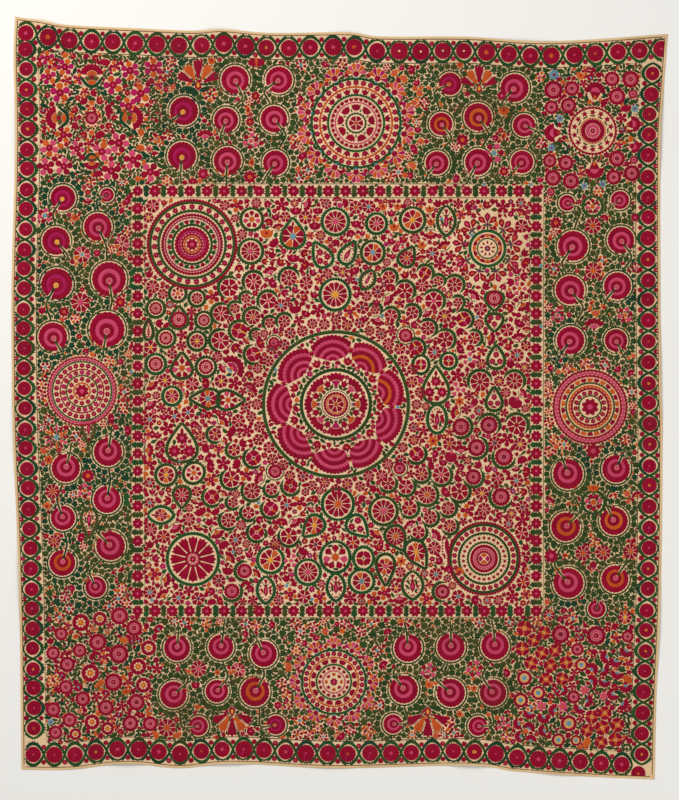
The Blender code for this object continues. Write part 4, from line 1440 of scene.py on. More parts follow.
# Corner squares. Runs of a kind, with x, y, size
cornerRows = {
    "topLeft": [
        ("six", [
            (-101.4, 117.9, 2.1), (-95.3, 114.9, 2.6), (-101.0, 111.4, 2.3), (-97.0, 105.9, 2.9),
            (-90.6, 110.6, 1.7), (-78.6, 108.6, 2.8), (-72.7, 113.6, 2.8), (-64.6, 114.6, 2.9),
            (-69.0, 105.7, 2.9), (-73.2, 101.2, 2.8), (-62.8, 108.6, 1.4)]),
        ("grey", [
            (-95.8, 91.4, 2.6), (-100.7, 86.8, 2.6), (-91.1, 86.5, 2.4), (-82.5, 85.5, 2.8),
            (-76.6, 88.5, 3.1), (-101.9, 80.2, 2.6), (-95.7, 80.4, 2.6), (-79.2, 78.8, 2.9),
            (-71.7, 82.6, 2.8), (-65.7, 78.4, 2.8), (-66.2, 86.4, 1.2)])],
    "topRight": [
        ("disc", [
            (74.2, 106.9, 3.2), (80.6, 107.4, 2.6), (73.5, 100.9, 2.4), (79.4, 101.5, 2.7),
            (94.5, 110.7, 2.6), (101.0, 110.6, 2.9), (96.2, 104.6, 2.9), (101.8, 105.5, 1.6),
            (72.9, 82.3, 2.4), (78.5, 81.6, 2.7), (74.0, 76.4, 2.8), (80.2, 75.3, 2.8), (96.2, 83.1, 2.8),
            (102.1, 82.6, 1.4), (95.1, 76.6, 2.6), (101.4, 78.0, 2.8)]),
        ("cup", [
            (88.7, 105.9, 4.6), (74.5, 92.0, 4.2), (101.4, 95.0, 3.6), (101.8, 87.3, 3.0),
            (88.4, 79.7, 4.4)]),
        ("flame", [(83.6, 111.9, 2.6), (89.8, 112.3, 2.6)]),
        ("blue", [
            (74.4, 112.2, 1.9), (102.4, 100.4, 1.4), (76.4, 97.0, 1.4), (73.5, 86.8, 1.4),
            (84.9, 73.6, 1.3), (91.2, 74.2, 1.3)]),
        ("disc", [(73.3, 71.5, 1.4)])],
    "bottomLeft": [
        ("disc", [
            (-96.6, -81.8, 2.3), (-83.9, -84.7, 3.0), (-76.4, -75.6, 3.0), (-71.3, -79.8, 2.8),
            (-76.6, -88.8, 3.3), (-90.2, -87.6, 2.4), (-99.4, -88.5, 2.4), (-94.5, -92.4, 2.7),
            (-78.5, -98.6, 3.1), (-95.0, -100.3, 2.5), (-89.1, -104.4, 2.6), (-81.1, -107.4, 2.8),
            (-70.5, -105.5, 2.9), (-99.4, -108.1, 2.6), (-93.7, -111.7, 2.5), (-72.6, -112.8, 2.8),
            (-65.7, -113.0, 2.6), (-98.6, -116.0, 2.4)]),
        ("eight", [
            (-89.8, -77.9, 3.2), (-86.5, -95.4, 3.3), (-69.9, -93.2, 3.0), (-66.3, -86.7, 2.8),
            (-85.9, -112.4, 2.8), (-80.5, -114.6, 2.4), (-68.1, -99.6, 2.8)]),
        ("orange", [(-99.4, -98.0, 2.4)]),
        ("eight", [(-83.2, -76.6, 2.6), (-91.7, -116.6, 2.2)]),
        ("flame", [
            (-100.2, -80.0, 2.2), (-91.6, -82.6, 2.2), (-80.6, -80.9, 2.0), (-78.0, -93.7, 2.0),
            (-74.1, -101.8, 2.2), (-72.1, -84.4, 2.0), (-90.3, -108.4, 2.0), (-76.6, -109.8, 2.4)]),
        ("blue", [(-100.3, -112.4, 1.2)])],
    "bottomRight": [
        ("disc", [(76.7, -82.0, 3.1), (89.0, -82.4, 3.3), (99.9, -82.7, 2.1), (82.5, -87.2, 2.2)]),
        ("target", [
            (64.1, -97.1, 2.3), (68.9, -102.3, 2.2), (62.8, -104.8, 2.3), (83.9, -92.6, 2.0),
            (79.5, -112.9, 2.5), (75.9, -118.6, 2.1), (82.0, -118.8, 1.7)]),
        ("disc", [(81.2, -103.7, 2.3)]),
        ("flame", [(82.8, -80.2, 2.6)]),
        ("four", [
            (64.1, -79.9, 2.3), (67.4, -84.0, 1.9), (70.9, -81.4, 2.0), (63.4, -87.0, 2.1),
            (74.8, -87.6, 1.9), (70.2, -88.5, 2.0), (66.4, -91.9, 2.0), (73.1, -93.0, 2.0),
            (78.6, -91.8, 2.0), (71.6, -97.6, 2.0), (77.2, -97.4, 1.9), (87.5, -110.6, 2.0),
            (92.0, -109.3, 2.0), (85.8, -115.3, 1.9), (91.1, -114.4, 2.2), (96.4, -113.4, 2.1),
            (95.7, -118.6, 2.1), (90.7, -119.5, 1.9)]),
        ("star", [
            (92.0, -89.9, 1.5), (95.5, -91.8, 1.5), (87.9, -93.7, 1.5), (92.0, -94.6, 1.4),
            (96.2, -96.0, 1.5), (87.9, -98.0, 1.5), (91.9, -98.9, 1.4), (99.3, -88.3, 1.5),
            (99.3, -100.6, 1.5), (98.6, -106.5, 1.5), (77.9, -101.6, 1.2), (94.6, -103.3, 1.4),
            (83.0, -108.0, 1.4), (86.4, -105.2, 1.4), (74.0, -108.2, 1.4), (70.4, -111.2, 1.4),
            (65.7, -109.9, 1.4), (65.9, -114.1, 1.4), (70.4, -115.5, 1.4), (61.6, -113.2, 1.3),
            (62.1, -117.5, 1.3), (66.4, -118.2, 1.3)]),
        ("pinkStar", [
            (85.0, -101.4, 1.3), (77.4, -107.0, 1.3), (70.0, -106.8, 1.3), (91.6, -103.4, 1.2)]),
        ("drop", [(98.6, -75.4, 3.6), (72.9, -74.6, 3.2)])],
}


beadDyes = {
    "six": (("magenta", "orange"), ("magenta", "orange", "magenta")),
    "grey": (("pink", "orange"), ("crimson", "pink"), ("orange", "crimson")),
}


def layCornerFlower(kind, x, y, size):
    if kind in beadDyes:
        beadFlower(x, y, size * 1.18, pick((5, 6)), pick(beadDyes[kind]))
    elif kind == "eight":
        for k in range(8):
            lay("crimson", "cup", *polar(x, y, size * 0.46, 45 * k), size * 0.56, 45 * k, 0.95)
        lay("orange", "star8", x, y, size * 0.50)
        lay("gold", "disc", x, y, size * 0.14, raised=0.6)
        claim(x, y, size + 0.1)
        keepBare(x, y, size)
    elif kind == "orange":
        petalFlower(x, y, size, 8, ("orange",), "crimson", 0.24)
    elif kind == "disc":
        discFlower(x, y, size * 1.08)
    elif kind == "target":
        size *= 1.2
        layRing("crimson", x, y, size, size * 0.58, 12, 0, 0.10, steps=2)
        layRing("gold", x, y, size * 0.56, size * 0.38, 12, 0, 0.10, steps=2)
        lay("blue", "rose6", x, y, size * 0.36)
        claim(x, y, size + 0.1)
    elif kind == "four":
        size *= 1.12
        turn = draw(0, 90)
        for k in range(4):
            lay("crimson", "cup", *polar(x, y, size * 0.34, turn + 90 * k), size * 0.84, turn + 90 * k, 1.1)
            lay("orange", "leaf", x, y, size * 1.05, turn + 45 + 90 * k, 0.7, 0.15)
        lay("gold", "disc", x, y, size * 0.16, raised=0.7)
        claim(x, y, size * 1.15)
        keepBare(x, y, size * 0.9)
    elif kind == "star":
        aim = draw(0, 360)
        layFanBand("crimson", *behind(x, y, size * 0.5, aim), size * 0.08, size * 1.75, aim, 98, 7, 0.16)
        for lean in (-46, 0, 46):
            lay("blue", "drop", *behind(x, y, size * 0.75, aim), size * 0.8, aim + lean, 0.8, 0.62)
        claim(x, y, size * 1.1)
    elif kind == "pinkStar":
        starFlower(x, y, size * 1.75, "pink", "orange", 6)
    elif kind == "blue":
        roseFlower(x, y, size, "blue", "crimson", 6)
    elif kind == "cup":
        mx, my = medallions["cornerTopRight"][:2]
        layDome(x, y, size, math.degrees(math.atan2(my - y, mx - x)) + 180)
    elif kind == "flame":
        tulip(x, y, size, draw(50, 130), pick(("orange", "crimson")), pick(("crimson", "blue")))
    elif kind == "drop":
        layFrame("drop", x, y, size * 0.8, size, 90 + (30 if x > 80 else -20), "mixed", "vine", 0.45)


def layDome(x, y, size, aim):
    hub = polar(x, y, size * 0.06, aim)
    foot = behind(*hub, size * 0.86, aim)
    layFanBand("crimson", *foot, size * 0.30, size * 0.93, aim, 27, 4)
    layFanBand("crimson", *hub, size * 0.34, size * 0.80, aim, 96, 10, 0.10)
    layFanBand("pink", *hub, size * 0.03, size * 0.36, aim, 96, raised=0.2)
    lay("orange", "drop", *polar(*foot, size * 0.26, aim), size * 0.40, aim, raised=0.5)
    claim(x, y, size * 0.7)
    keepBare(x, y, size * 0.6)


cornerVines = [
    [(-82.0, 100.3), (-76.0, 105.6), (-71.1, 109.6), (-66.8, 111.6)],
    [(-91.4, 101.0), (-94.3, 103.0), (-99.3, 102.3)],
    [(-89.7, 93.6), (-93.3, 88.6), (-97.8, 84.6)],
    [(-82.6, 93.6), (-80.2, 88.6), (-77.2, 83.8)],
]


def layCorners():
    for corner in ("topRight", "bottomLeft", "bottomRight", "topLeft"):
        for kind, places in cornerRows[corner]:
            for place in places:
                layCornerFlower(kind, *place)
    x, y = -86.0, 97.2                                # the small star wheel of the top left corner
    for reach, aim in ((15.2, 90), (12.6, 180), (14.4, 0), (15.6, 270)):
        layCup(*polar(x, y, reach, aim), 6.6 if aim != 270 else 4.6, aim)
    for k in range(16):
        lay("crimson" if k % 2 else "orange", "bead", *polar(x, y, 3.1, 22.5 * k), 0.42)
    discFlower(x, y, 2.5, lobes=12)
    for k in range(4):
        lay(*(("orange", "star8") if k % 2 else ("crimson", "bud")), *polar(x, y, 5.2, 90 * k), 1.5, 90 * k)
        for lean in (-13, 13):
            px, py = polar(x, y, 6.7, 45 + 90 * k + lean * 1.5)
            tulip(px, py, 3.0, 45 + 90 * k + lean, "crimson", "orange" if lean > 0 else None, "leaf")
    claim(x, y, 4.0)
    for path in cornerVines:
        vine = smoothPath(path, 5)
        layStem("umber", vine, 0.30)
        stemmedLeaves(vine, 2.3, 1.6, "leaf")


# Gap filling: each gap takes the largest small flower, bud or leaf that fits
def roomMap(limit):
    covered = sewnMap["taken"].copy()
    room = np.zeros(covered.shape, np.int8)
    for step in range(1, limit + 1):
        grown = covered.copy()
        grown[1:] |= covered[:-1]
        grown[:-1] |= covered[1:]
        grown[:, 1:] |= covered[:, :-1]
        grown[:, :-1] |= covered[:, 1:]
        if step % 2 == 0:
            grown[1:, 1:] |= covered[:-1, :-1]
            grown[:-1, :-1] |= covered[1:, 1:]
            grown[1:, :-1] |= covered[:-1, 1:]
            grown[:-1, 1:] |= covered[1:, :-1]
        room[~covered] = step
        covered = grown
    room[~covered] = limit + 1
    return room


def fillGaps(inside, sizes, layFiller, fullness=1.12):
    for size in sizes:
        cells = size / sewnMap["cell"]
        room = roomMap(int(math.ceil(cells)) + 1)
        order = np.argwhere(inside & (room >= cells))
        np.random.default_rng(int(size * 100)).shuffle(order)
        blocked = np.zeros(inside.shape, bool)
        for j, i in order:
            if blocked[j, i]:
                continue
            x, y = mapX[i], mapY[j]
            claim(x, y, 2 * size - 0.1, blocked)
            claim(x, y, size)
            layFiller(x, y, size * fullness)


def clearRun(x, y, aim, most):
    silk, cell = sewnMap["silk"], sewnMap["cell"]
    dx, dy = math.cos(math.radians(aim)) * cell, math.sin(math.radians(aim)) * cell
    i, j = (x - sewnMap["left"]) / cell, (y - sewnMap["low"]) / cell
    for step in range(1, int(most / cell)):
        if silk[int(j + dy / cell * step), int(i + dx / cell * step)]:
            return step * cell
    return most


def alongGap(x, y, size, aim, reach=1.35):
    most = min(size * 1.9, reach)
    runs = []
    for turn in range(0, 180, 30):
        tail, tip = clearRun(x, y, aim + turn + 180, most), clearRun(x, y, aim + turn, most)
        runs.append((tail + tip, aim + turn, tail))
    return max(runs)


def layAlong(dye, shape, x, y, size, aim, width=0.54, reach=1.35):
    long, aim, tail = alongGap(x, y, size, aim, reach)
    long = max(long - 0.4, size * 1.5)
    wide = min(max(1.4 * size / (width * long), 0.7), 1.2)
    lay(dye, shape, *polar(x, y, max(tail - 0.2, size * 0.75), aim + 180), long, aim, wide)


def fieldFiller(x, y, size):
    chance = needle["rng"].random()
    aim = draw(0, 360)
    green = greenAt(x, y)
    warm = ("orange", "pink", "pink", "blue", "gold", "violet")
    if size > 1.5:
        if chance < 0.30:
            wedgeFlower(x, y, size, pick((6, 7, 8)), ("crimson",), pick(warm), 0.26)
        elif chance < 0.50:
            beadFlower(x, y, size, pick((5, 6)), pick((("crimson",), ("crimson",), ("crimson", "orange"))))
        elif chance < 0.62:
            layCarnation(x, y, size * 1.3, aim, 5, "crimson", pick(("orange", "pink")), green)
        else:
            tulip(x, y, min(size * 1.62, 3.1), aim, "crimson", pick(("orange", "pink", None)), green)
    elif size > 0.95:
        if chance < 0.24:
            roseFlower(x, y, size, pick(("crimson", "crimson", "crimson", "magenta")), pick(warm),
                       pick((5, 6)))
        elif chance < 0.56:
            tulip(x, y, size * 1.65, alongGap(x, y, size, aim)[1], "crimson", None, green)
        elif chance < 0.66:
            bud(x, y, size * 1.75, alongGap(x, y, size, aim)[1], "crimson",
                pick(("orange", "pink", None)), green)
        elif chance < 0.82:
            layAlong(green, "leaf", x, y, size, aim)
        else:
            layAlong(pick(("crimson", "crimson", "orange")), "drop", x, y, size, aim, 0.62)
    elif chance < 0.54:
        layAlong("crimson", pick(("drop", "bud", "leaf")), x, y, size, aim, 0.62)
    elif chance < 0.94:
        layAlong(green, "leaf", x, y, size, aim, reach=1.7)
    else:
        lay(pick(("orange", "pink", "blue")), "rose5", x, y, size, aim)


mostlyCrimson = ("crimson", "crimson", "crimson", "orange")


def bedFiller(x, y, size):
    chance = needle["rng"].random()
    aim = draw(0, 360)
    green = greenAt(x, y)
    if size > 1.3:
        if chance < 0.4:
            petalFlower(x, y, size, 6, pick((("crimson",), ("crimson",), ("crimson", "orange"))),
                        pick(("orange", "pink", "blue")), 0.28)
        elif chance < 0.6:
            tulip(x, y, min(size * 1.6, 2.7), aim, pick(mostlyCrimson), "pink", green)
        else:
            lay(green, "ivy", x, y, size * 1.35, aim)
    elif size > 0.85:
        if chance < 0.80:
            lay(green, "ivy", x, y, size * 1.65, aim, vary(1.0))
        elif chance < 0.90:
            roseFlower(x, y, size, pick(("crimson", "orange", "crimson")), pick(("pink", "orange")), 6)
        else:
            bud(x, y, size * 1.8, aim, "crimson", "orange", green)
    elif chance < 0.80:
        layAlong(green, "leaf", x, y, size, aim)
    else:
        layAlong(pick(("crimson", "orange")), "drop", x, y, size, aim, 0.62)


def cornerFiller(x, y, size):
    chance = needle["rng"].random()
    aim = draw(0, 360)
    green = pick(("bottle", "leaf", "leaf", "moss"))
    if size > 1.3:
        if chance < 0.24:
            tulip(x, y, min(size * 1.6, 2.8), aim, pick(mostlyCrimson), pick(("orange", "blue", None)), green)
        elif chance < 0.44:
            beadFlower(x, y, size, 5, pick((("crimson",), ("crimson", "orange"))))
        else:
            laySprig(x, y, size, alongGap(x, y, size, aim)[1], green)
    elif size > 0.95:
        if chance < 0.66:
            layAlong(green, "leaf", x, y, size, aim, reach=1.9)
        elif chance < 0.86:
            layAlong(pick(mostlyCrimson), pick(("drop", "bud")), x, y, size, aim, 0.62)
        else:
            roseFlower(x, y, size, "crimson", pick(("orange", None)), 5)
    elif chance < 0.62:
        layAlong(green, "leaf", x, y, size, aim, reach=1.7)
    elif chance < 0.66:
        curl(x, y, size * 0.9)
    else:
        layAlong(pick(mostlyCrimson), pick(("bud", "drop")), x, y, size, aim, 0.62)


def zoneMaps():
    gx, gy = np.meshgrid(mapX, mapY)
    flatX, flatY = gx.ravel() * cm, gy.ravel() * cm
    guard = outerBorder["guardInset"]
    inside = ((topY(flatX) - flatY > guard["top"] * cm) & (flatY - bottomY(flatX) > guard["bottom"] * cm)
              & (flatX - leftX(flatY) > guard["left"] * cm) & (rightX(flatY) - flatX > guard["right"] * cm))
    inside = inside.reshape(gx.shape)
    make = innerBorder
    field = ((gx > make["left"] - make["half"]) & (gx < make["right"] + make["half"])
             & (gy > make["bottom"] - make["half"]) & (gy < make["top"] + make["half"]))
    farX = (gx < -61) | (gx > 70)
    farY = (gy > 75) | (gy < -77)
    corners = inside & ~field & farX & farY
    return field, inside & ~field & ~corners, corners


print("suzani: sewing the borders")
layOuterBorder()
layEdgeLine()
needle["zone"] = "beds"
for name in ("topMiddle", "bottomMiddle", "left", "right", "cornerTopRight"):
    layMedallion(*medallions[name])
for chain in rosetteChains:
    layChain(chain)
layCorners()
for row in bedFlowers:
    layBedFlower(*row)
for chain in rosetteChains:
    for row in chain:
        layLeafRing(*row[:4])

print("suzani: sewing the field")
needle["zone"] = "field"
for name in ("fieldTopLeft", "fieldBottomRight", "fieldTopRight", "fieldBottomLeft"):
    layMedallion(*medallions[name])
layMiddleMedallion()
for k in range(9):                                     # ray flowers round the top right medallion
    aim = 40 * k + 10
    foot = polar(*medallions["fieldTopRight"][:2], 8.3, aim)
    for lean in (-50, 0, 50):
        lay("crimson", "widePetal", *foot, 4.2, aim + lean, 0.55)
        lay("orange" if lean else "pink", "drop", *polar(*foot, 1.9, aim + lean), 1.6, aim + lean, 0.7, 0.62)
        lay("leaf", "leaf", *foot, 2.0, aim + 2 * lean + (180 if not lean else 0), 0.7)
    lay("violet", "disc", *foot, 0.55, raised=0.7)
    keepBare(*polar(*foot, 2.2, aim), 2.7)
layInnerBorder()
for row in fieldFrames:
    layFrame(*row)
for row in crescentRows:
    layCrescent(*row)
for kind, places in fieldFlowers:
    for place in places:
        layFieldFlower(kind, *place)

print("suzani: filling the gaps")
fieldMap, bedMap, cornerMap = zoneMaps()
needle["zone"] = "beds"
sewnMap["taken"] = sewnMap["silk"] | sewnMap["kept"]
fillGaps(bedMap, (1.75, 1.3, 1.05, 0.85), bedFiller)
fillGaps(cornerMap, (1.75, 1.35, 1.1, 0.9), cornerFiller)
needle["zone"] = "field"
fillGaps(fieldMap, (2.25, 1.75, 1.4, 1.1, 0.9), fieldFiller, 1.1)
sewnMap["taken"] = sewnMap["silk"] | sewnMap["kept"]
fillGaps(fieldMap, (0.95, 0.78, 0.62), fieldFiller, 1.14)
needle["zone"] = "beds"
fillGaps(bedMap, (0.9, 0.7, 0.55, 0.45), bedFiller, 1.2)
fillGaps(cornerMap, (1.0, 0.78, 0.6, 0.48), cornerFiller, 1.2)
covered = sewnMap["silk"].sum() / (fieldMap | bedMap | cornerMap).sum()
print("suzani: silk covers", round(100 * covered), "percent")


# Meshes
def meshFrom(name, points, quads, tris):
    mesh = bpy.data.meshes.new(name)
    faces = np.concatenate([np.asarray(quads, np.int32).ravel(), np.asarray(tris, np.int32).ravel()])
    mesh.vertices.add(len(points))
    mesh.vertices.foreach_set("co", np.ascontiguousarray(points, np.float32).ravel())
    mesh.loops.add(len(faces))
    mesh.loops.foreach_set("vertex_index", faces)
    sizes = np.concatenate((np.full(len(quads), 4), np.full(len(tris), 3)))
    starts = np.concatenate(([0], np.cumsum(sizes)[:-1])).astype(np.int32)
    mesh.polygons.add(len(sizes))
    mesh.polygons.foreach_set("loop_start", starts)
    mesh.update(calc_edges=True)
    mesh.validate()
    return mesh


def addObject(name, data):
    made = bpy.data.objects.new(name, data)
    bpy.context.scene.collection.objects.link(made)
    return made


def addPiece(name, mesh, material):
    piece = addObject(name, mesh)
    mesh.materials.append(material)
    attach(piece, "root")
    return piece


def addStitchAttribute(mesh, values):
    attribute = mesh.attributes.new("stitch", "FLOAT_VECTOR", "POINT")
    attribute.data.foreach_set("vector", np.ascontiguousarray(values, np.float32).ravel())


# Shader node groups
def linear(rgb):
    shares = [v / 255 for v in rgb]
    return tuple(v / 12.92 if v <= 0.04045 else ((v + 0.055) / 1.055) ** 2.4 for v in shares) + (1.0,)


def newGroup(name, inputs, outputs):
    tree = bpy.data.node_groups.new(name, "ShaderNodeTree")
    for label, kind, value in inputs:
        socket = tree.interface.new_socket(name=label, in_out="INPUT", socket_type="NodeSocket" + kind)
        socket.default_value = value
    for label, kind in outputs:
        tree.interface.new_socket(name=label, in_out="OUTPUT", socket_type="NodeSocket" + kind)
    return tree, tree.nodes.new("NodeGroupInput"), tree.nodes.new("NodeGroupOutput")


def connect(tree, made, links):
    for socket, source in links.items():
        if isinstance(source, bpy.types.NodeSocket):
            tree.links.new(source, made.inputs[socket])
        else:
            made.inputs[socket].default_value = source
    return made


def node(tree, kind, links=(), **values):
    made = tree.nodes.new("ShaderNode" + kind)
    for key, value in values.items():
        setattr(made, key, value)
    return connect(tree, made, dict(links))


def maths(tree, operation, first, second=0.0, third=None):
    links = {0: first, 1: second}
    if third is not None:
        links[2] = third
    return node(tree, "Math", links, operation=operation).outputs[0]


def noise(tree, scale, detail, place=None):
    links = {"Scale": scale, "Detail": detail}
    if place is not None:
        links["Vector"] = place
    return node(tree, "TexNoise", links).outputs["Fac"]


def times(tree, first, second):
    return maths(tree, "MULTIPLY", first, second)


def mixed(tree, factor, first, second):
    made = tree.nodes.new("ShaderNodeMix")
    made.data_type = "RGBA"
    return connect(tree, made, {0: factor, 6: first, 7: second}).outputs[2]


def threadWave(tree, place, spacing):
    return maths(tree, "SINE", maths(tree, "DIVIDE", times(tree, place, fullTurn), spacing))


def buildSilkStitch():
    # rows of couched thread that follow each shape, with the small slanting stitches that tie them down
    tree, given, out = newGroup("silkStitch", [
        ("Colour", "Color", (0.5, 0.0, 0.0, 1)), ("Deep colour", "Color", (0.2, 0.0, 0.0, 1)),
        ("Uneven", "Float", 0.5), ("Row spacing", "Float", 0.0013), ("Tie spacing", "Float", 0.0034),
    ], [("Colour", "Color"), ("Roughness", "Float"), ("Height", "Float")])
    stitch = node(tree, "Attribute", attribute_name="stitch", attribute_type="GEOMETRY")
    parts = node(tree, "SeparateXYZ", {0: stitch.outputs["Vector"]})
    across, along, tone = parts.outputs
    place = node(tree, "TexCoord").outputs["Object"]
    wander = noise(tree, 240.0, 2.0, place)
    turned = maths(tree, "MULTIPLY_ADD", wander, 0.0007, across)
    rows = threadWave(tree, turned, given.outputs["Row spacing"])
    rowHeight = maths(tree, "MULTIPLY_ADD", rows, 0.5, 0.5)
    slanted = maths(tree, "ADD", along, times(tree, across, 1.6))
    ties = threadWave(tree, slanted, given.outputs["Tie spacing"])
    tieDip = maths(tree, "POWER", maths(tree, "MAXIMUM", ties, 0.0), 6.0)
    height = maths(tree, "SUBTRACT", rowHeight, times(tree, tieDip, 0.55))
    patchy = noise(tree, 38.0, 3.0, place)
    patches = maths(tree, "MULTIPLY_ADD", patchy, 1.5, -0.45)
    shade = maths(tree, "MULTIPLY_ADD", tone, 0.30, patches)
    shade = times(tree, shade, given.outputs["Uneven"])
    # painted shade: the lower the thread surface, the more it is mixed towards the deep colour
    grooveShade = times(tree, maths(tree, "SUBTRACT", 1.0, height), 0.45)
    amount = node(tree, "Clamp", {0: maths(tree, "ADD", shade, grooveShade)}).outputs[0]
    colour = mixed(tree, amount, given.outputs["Colour"], given.outputs["Deep colour"])
    roughness = maths(tree, "MULTIPLY_ADD", grooveShade, 0.5, 0.52)
    connect(tree, out, {"Colour": colour, "Roughness": roughness, "Height": height})
    return tree


def buildClothWeave():
    # plain weave with uneven hand-spun threads; the Shadow output is painted shade for the hollows between
    # threads
    tree, given, out = newGroup("clothWeave", [
        ("Thread spacing", "Float", 0.0008), ("Slub", "Float", 0.35),
    ], [("Height", "Float"), ("Shadow", "Float")])
    place = node(tree, "SeparateXYZ", {0: node(tree, "TexCoord").outputs["Object"]})
    slub = noise(tree, 160.0, 2.0)
    slubReach = times(tree, given.outputs["Slub"], 0.004)
    slubbed = times(tree, slub, slubReach)
    waves = []
    for axis in (0, 1):
        shifted = maths(tree, "ADD", place.outputs[axis], slubbed)
        waves.append(threadWave(tree, shifted, given.outputs["Thread spacing"]))
    crossing = times(tree, waves[0], waves[1])
    height = maths(tree, "MULTIPLY_ADD", crossing, 0.5, 0.5)
    connect(tree, out, {"Height": height, "Shadow": maths(tree, "SUBTRACT", 1.0, height)})
    return tree


# Old stains: x, y and radius in metres, and how dark each is
stainRows = [
    (-0.62, 1.10, 0.09, 0.42), (-0.59, 1.20, 0.06, 0.34), (-0.53, -1.10, 0.09, 0.38),
    (0.55, -1.02, 0.09, 0.32), (-0.55, -0.98, 0.05, 0.3), (0.56, 0.98, 0.10, 0.26),
    (0.40, 1.16, 0.08, 0.22), (-0.60, 0.98, 0.06, 0.3),
]


def buildAgeStain():
    # yellowing, brown water marks and dust, by place on the cloth
    tree, given, out = newGroup("ageStain", [
        ("Colour", "Color", (0.7, 0.5, 0.3, 1)), ("Stain colour", "Color", (0.25, 0.13, 0.05, 1)),
        ("Strength", "Float", 1.0),
    ], [("Colour", "Color")])
    place = node(tree, "TexCoord").outputs["Object"]
    ragged = noise(tree, 9.0, 4.0, place)
    total = None
    for x, y, radius, dark in stainRows:
        spot = node(tree, "VectorMath", {0: place, 1: (x, y, 0.0)}, operation="DISTANCE")
        away = maths(tree, "DIVIDE", spot.outputs["Value"], radius)
        away = maths(tree, "ADD", away, maths(tree, "MULTIPLY_ADD", ragged, 1.4, -0.7))
        mask = node(tree, "MapRange", {"Value": away, "From Min": 0.3, "From Max": 1.15, "To Min": dark,
                                       "To Max": 0.0}).outputs[0]
        total = mask if total is None else maths(tree, "MAXIMUM", total, mask)
    cloudy = noise(tree, 3.2, 5.0, place)
    haze = node(tree, "MapRange", {"Value": cloudy, "From Min": 0.45, "From Max": 0.75,
                                   "To Max": 0.22})
    darkest = maths(tree, "MAXIMUM", total, haze.outputs[0])
    amount = times(tree, darkest, given.outputs["Strength"])
    stained = mixed(tree, amount, given.outputs["Colour"], given.outputs["Stain colour"])
    connect(tree, out, {"Colour": stained})
    return tree


silkStitch = buildSilkStitch()
clothWeave = buildClothWeave()
ageStain = buildAgeStain()


def placeGroup(tree, group, links):
    made = tree.nodes.new("ShaderNodeGroup")
    made.node_tree = group
    return connect(tree, made, links)


def newMaterial(name, roughness, sheen, sheenTint):
    material = bpy.data.materials.new(name)
    material.use_nodes = True
    tree = material.node_tree
    shader = tree.nodes["Principled BSDF"]
    connect(tree, shader, {"Roughness": roughness, "Sheen Weight": sheen, "Sheen Tint": sheenTint,
                           "Sheen Roughness": 0.4, "Specular IOR Level": 0.10})
    return material, tree, shader


def addBump(tree, shader, height, distance, strength):
    bump = node(tree, "Bump", {"Height": height, "Distance": distance, "Strength": strength})
    connect(tree, shader, {"Normal": bump.outputs["Normal"]})


def silkMaterial(name, dye):
    colours = silkDyes[dye]
    colour, deep = linear(colours["colour"]), linear(colours["deep"])
    material, tree, shader = newMaterial(name, 0.6, 0.03, colour)
    stitch = placeGroup(tree, silkStitch, {"Colour": colour, "Deep colour": deep,
                                           "Uneven": colours["uneven"]})
    aged = placeGroup(tree, ageStain, {"Colour": stitch.outputs["Colour"], "Strength": 0.45,
                                       "Stain colour": linear((70, 44, 22))})
    connect(tree, shader, {"Base Color": aged.outputs["Colour"], "Roughness": stitch.outputs["Roughness"]})
    addBump(tree, shader, stitch.outputs["Height"], 0.00035, 0.8)
    return material


def clothMaterial(name, colour, shadeAndBlotch):
    material, tree, shader = newMaterial(name, 0.9, 0.05, linear(colour))
    weave = placeGroup(tree, clothWeave, {})
    # painted shade in the weave's hollows, then random blotches, both mixed towards the darker colour
    hollowShade = times(tree, weave.outputs["Shadow"], 0.35)
    shaded = mixed(tree, hollowShade, linear(colour), linear(shadeAndBlotch))
    place = node(tree, "TexCoord").outputs["Object"]
    blotchy = noise(tree, 26.0, 4.0, place)
    shaded = mixed(tree, times(tree, blotchy, 0.5), shaded, linear(shadeAndBlotch))
    aged = placeGroup(tree, ageStain, {"Colour": shaded, "Stain colour": linear((120, 76, 34))})
    connect(tree, shader, {"Base Color": aged.outputs["Colour"]})
    addBump(tree, shader, weave.outputs["Height"], 0.0002, 0.6)
    return material


print("suzani: making the silk pieces")
for name, skein in sorted(skeins.items()):
    points = np.vstack(skein["points"])
    points[:, 2] += clothLift(points[:, 0], points[:, 1]) + groundCloth["thickness"]
    onCloth = np.ones(len(points), bool)
    for edge in ("top", "bottom", "left", "right"):
        onCloth &= edgeDepth(edge, points[:, 0], points[:, 1]) > 0.8 * cm
    quads = np.vstack(skein["quads"]) if skein["quads"] else np.zeros((0, 4), int)
    tris = np.vstack(skein["tris"]) if skein["tris"] else np.zeros((0, 3), int)
    quads, tris = quads[onCloth[quads].all(axis=1)], tris[onCloth[tris].all(axis=1)]
    mesh = meshFrom("silk_" + name, points, quads, tris)
    addStitchAttribute(mesh, np.vstack(skein["stitch"]))
    mesh.shade_smooth()
    material = silkMaterial("silk_" + name, skein["dye"])
    addPiece("silk_" + name, mesh, material)
    print("  silk", name, 2 * len(quads) + len(tris), "triangles")


# Panels of ground cloth
# each panel's second colour is the darker tone used for painted shade in the weave's hollows and for random
# blotches
panelLooks = [
    {"name": "panel_cloth_1", "node": "panel_1", "colour": (228, 196, 156), "shadeAndBlotch": (198, 158, 114)},
    {"name": "panel_cloth_2", "node": "panel_2", "colour": (231, 200, 162), "shadeAndBlotch": (202, 162, 118)},
    {"name": "panel_cloth_3", "node": "panel_3", "colour": (230, 198, 158), "shadeAndBlotch": (200, 160, 114)},
    {"name": "panel_cloth_4", "node": "panel_4", "colour": (226, 194, 152), "shadeAndBlotch": (196, 156, 110)},
]


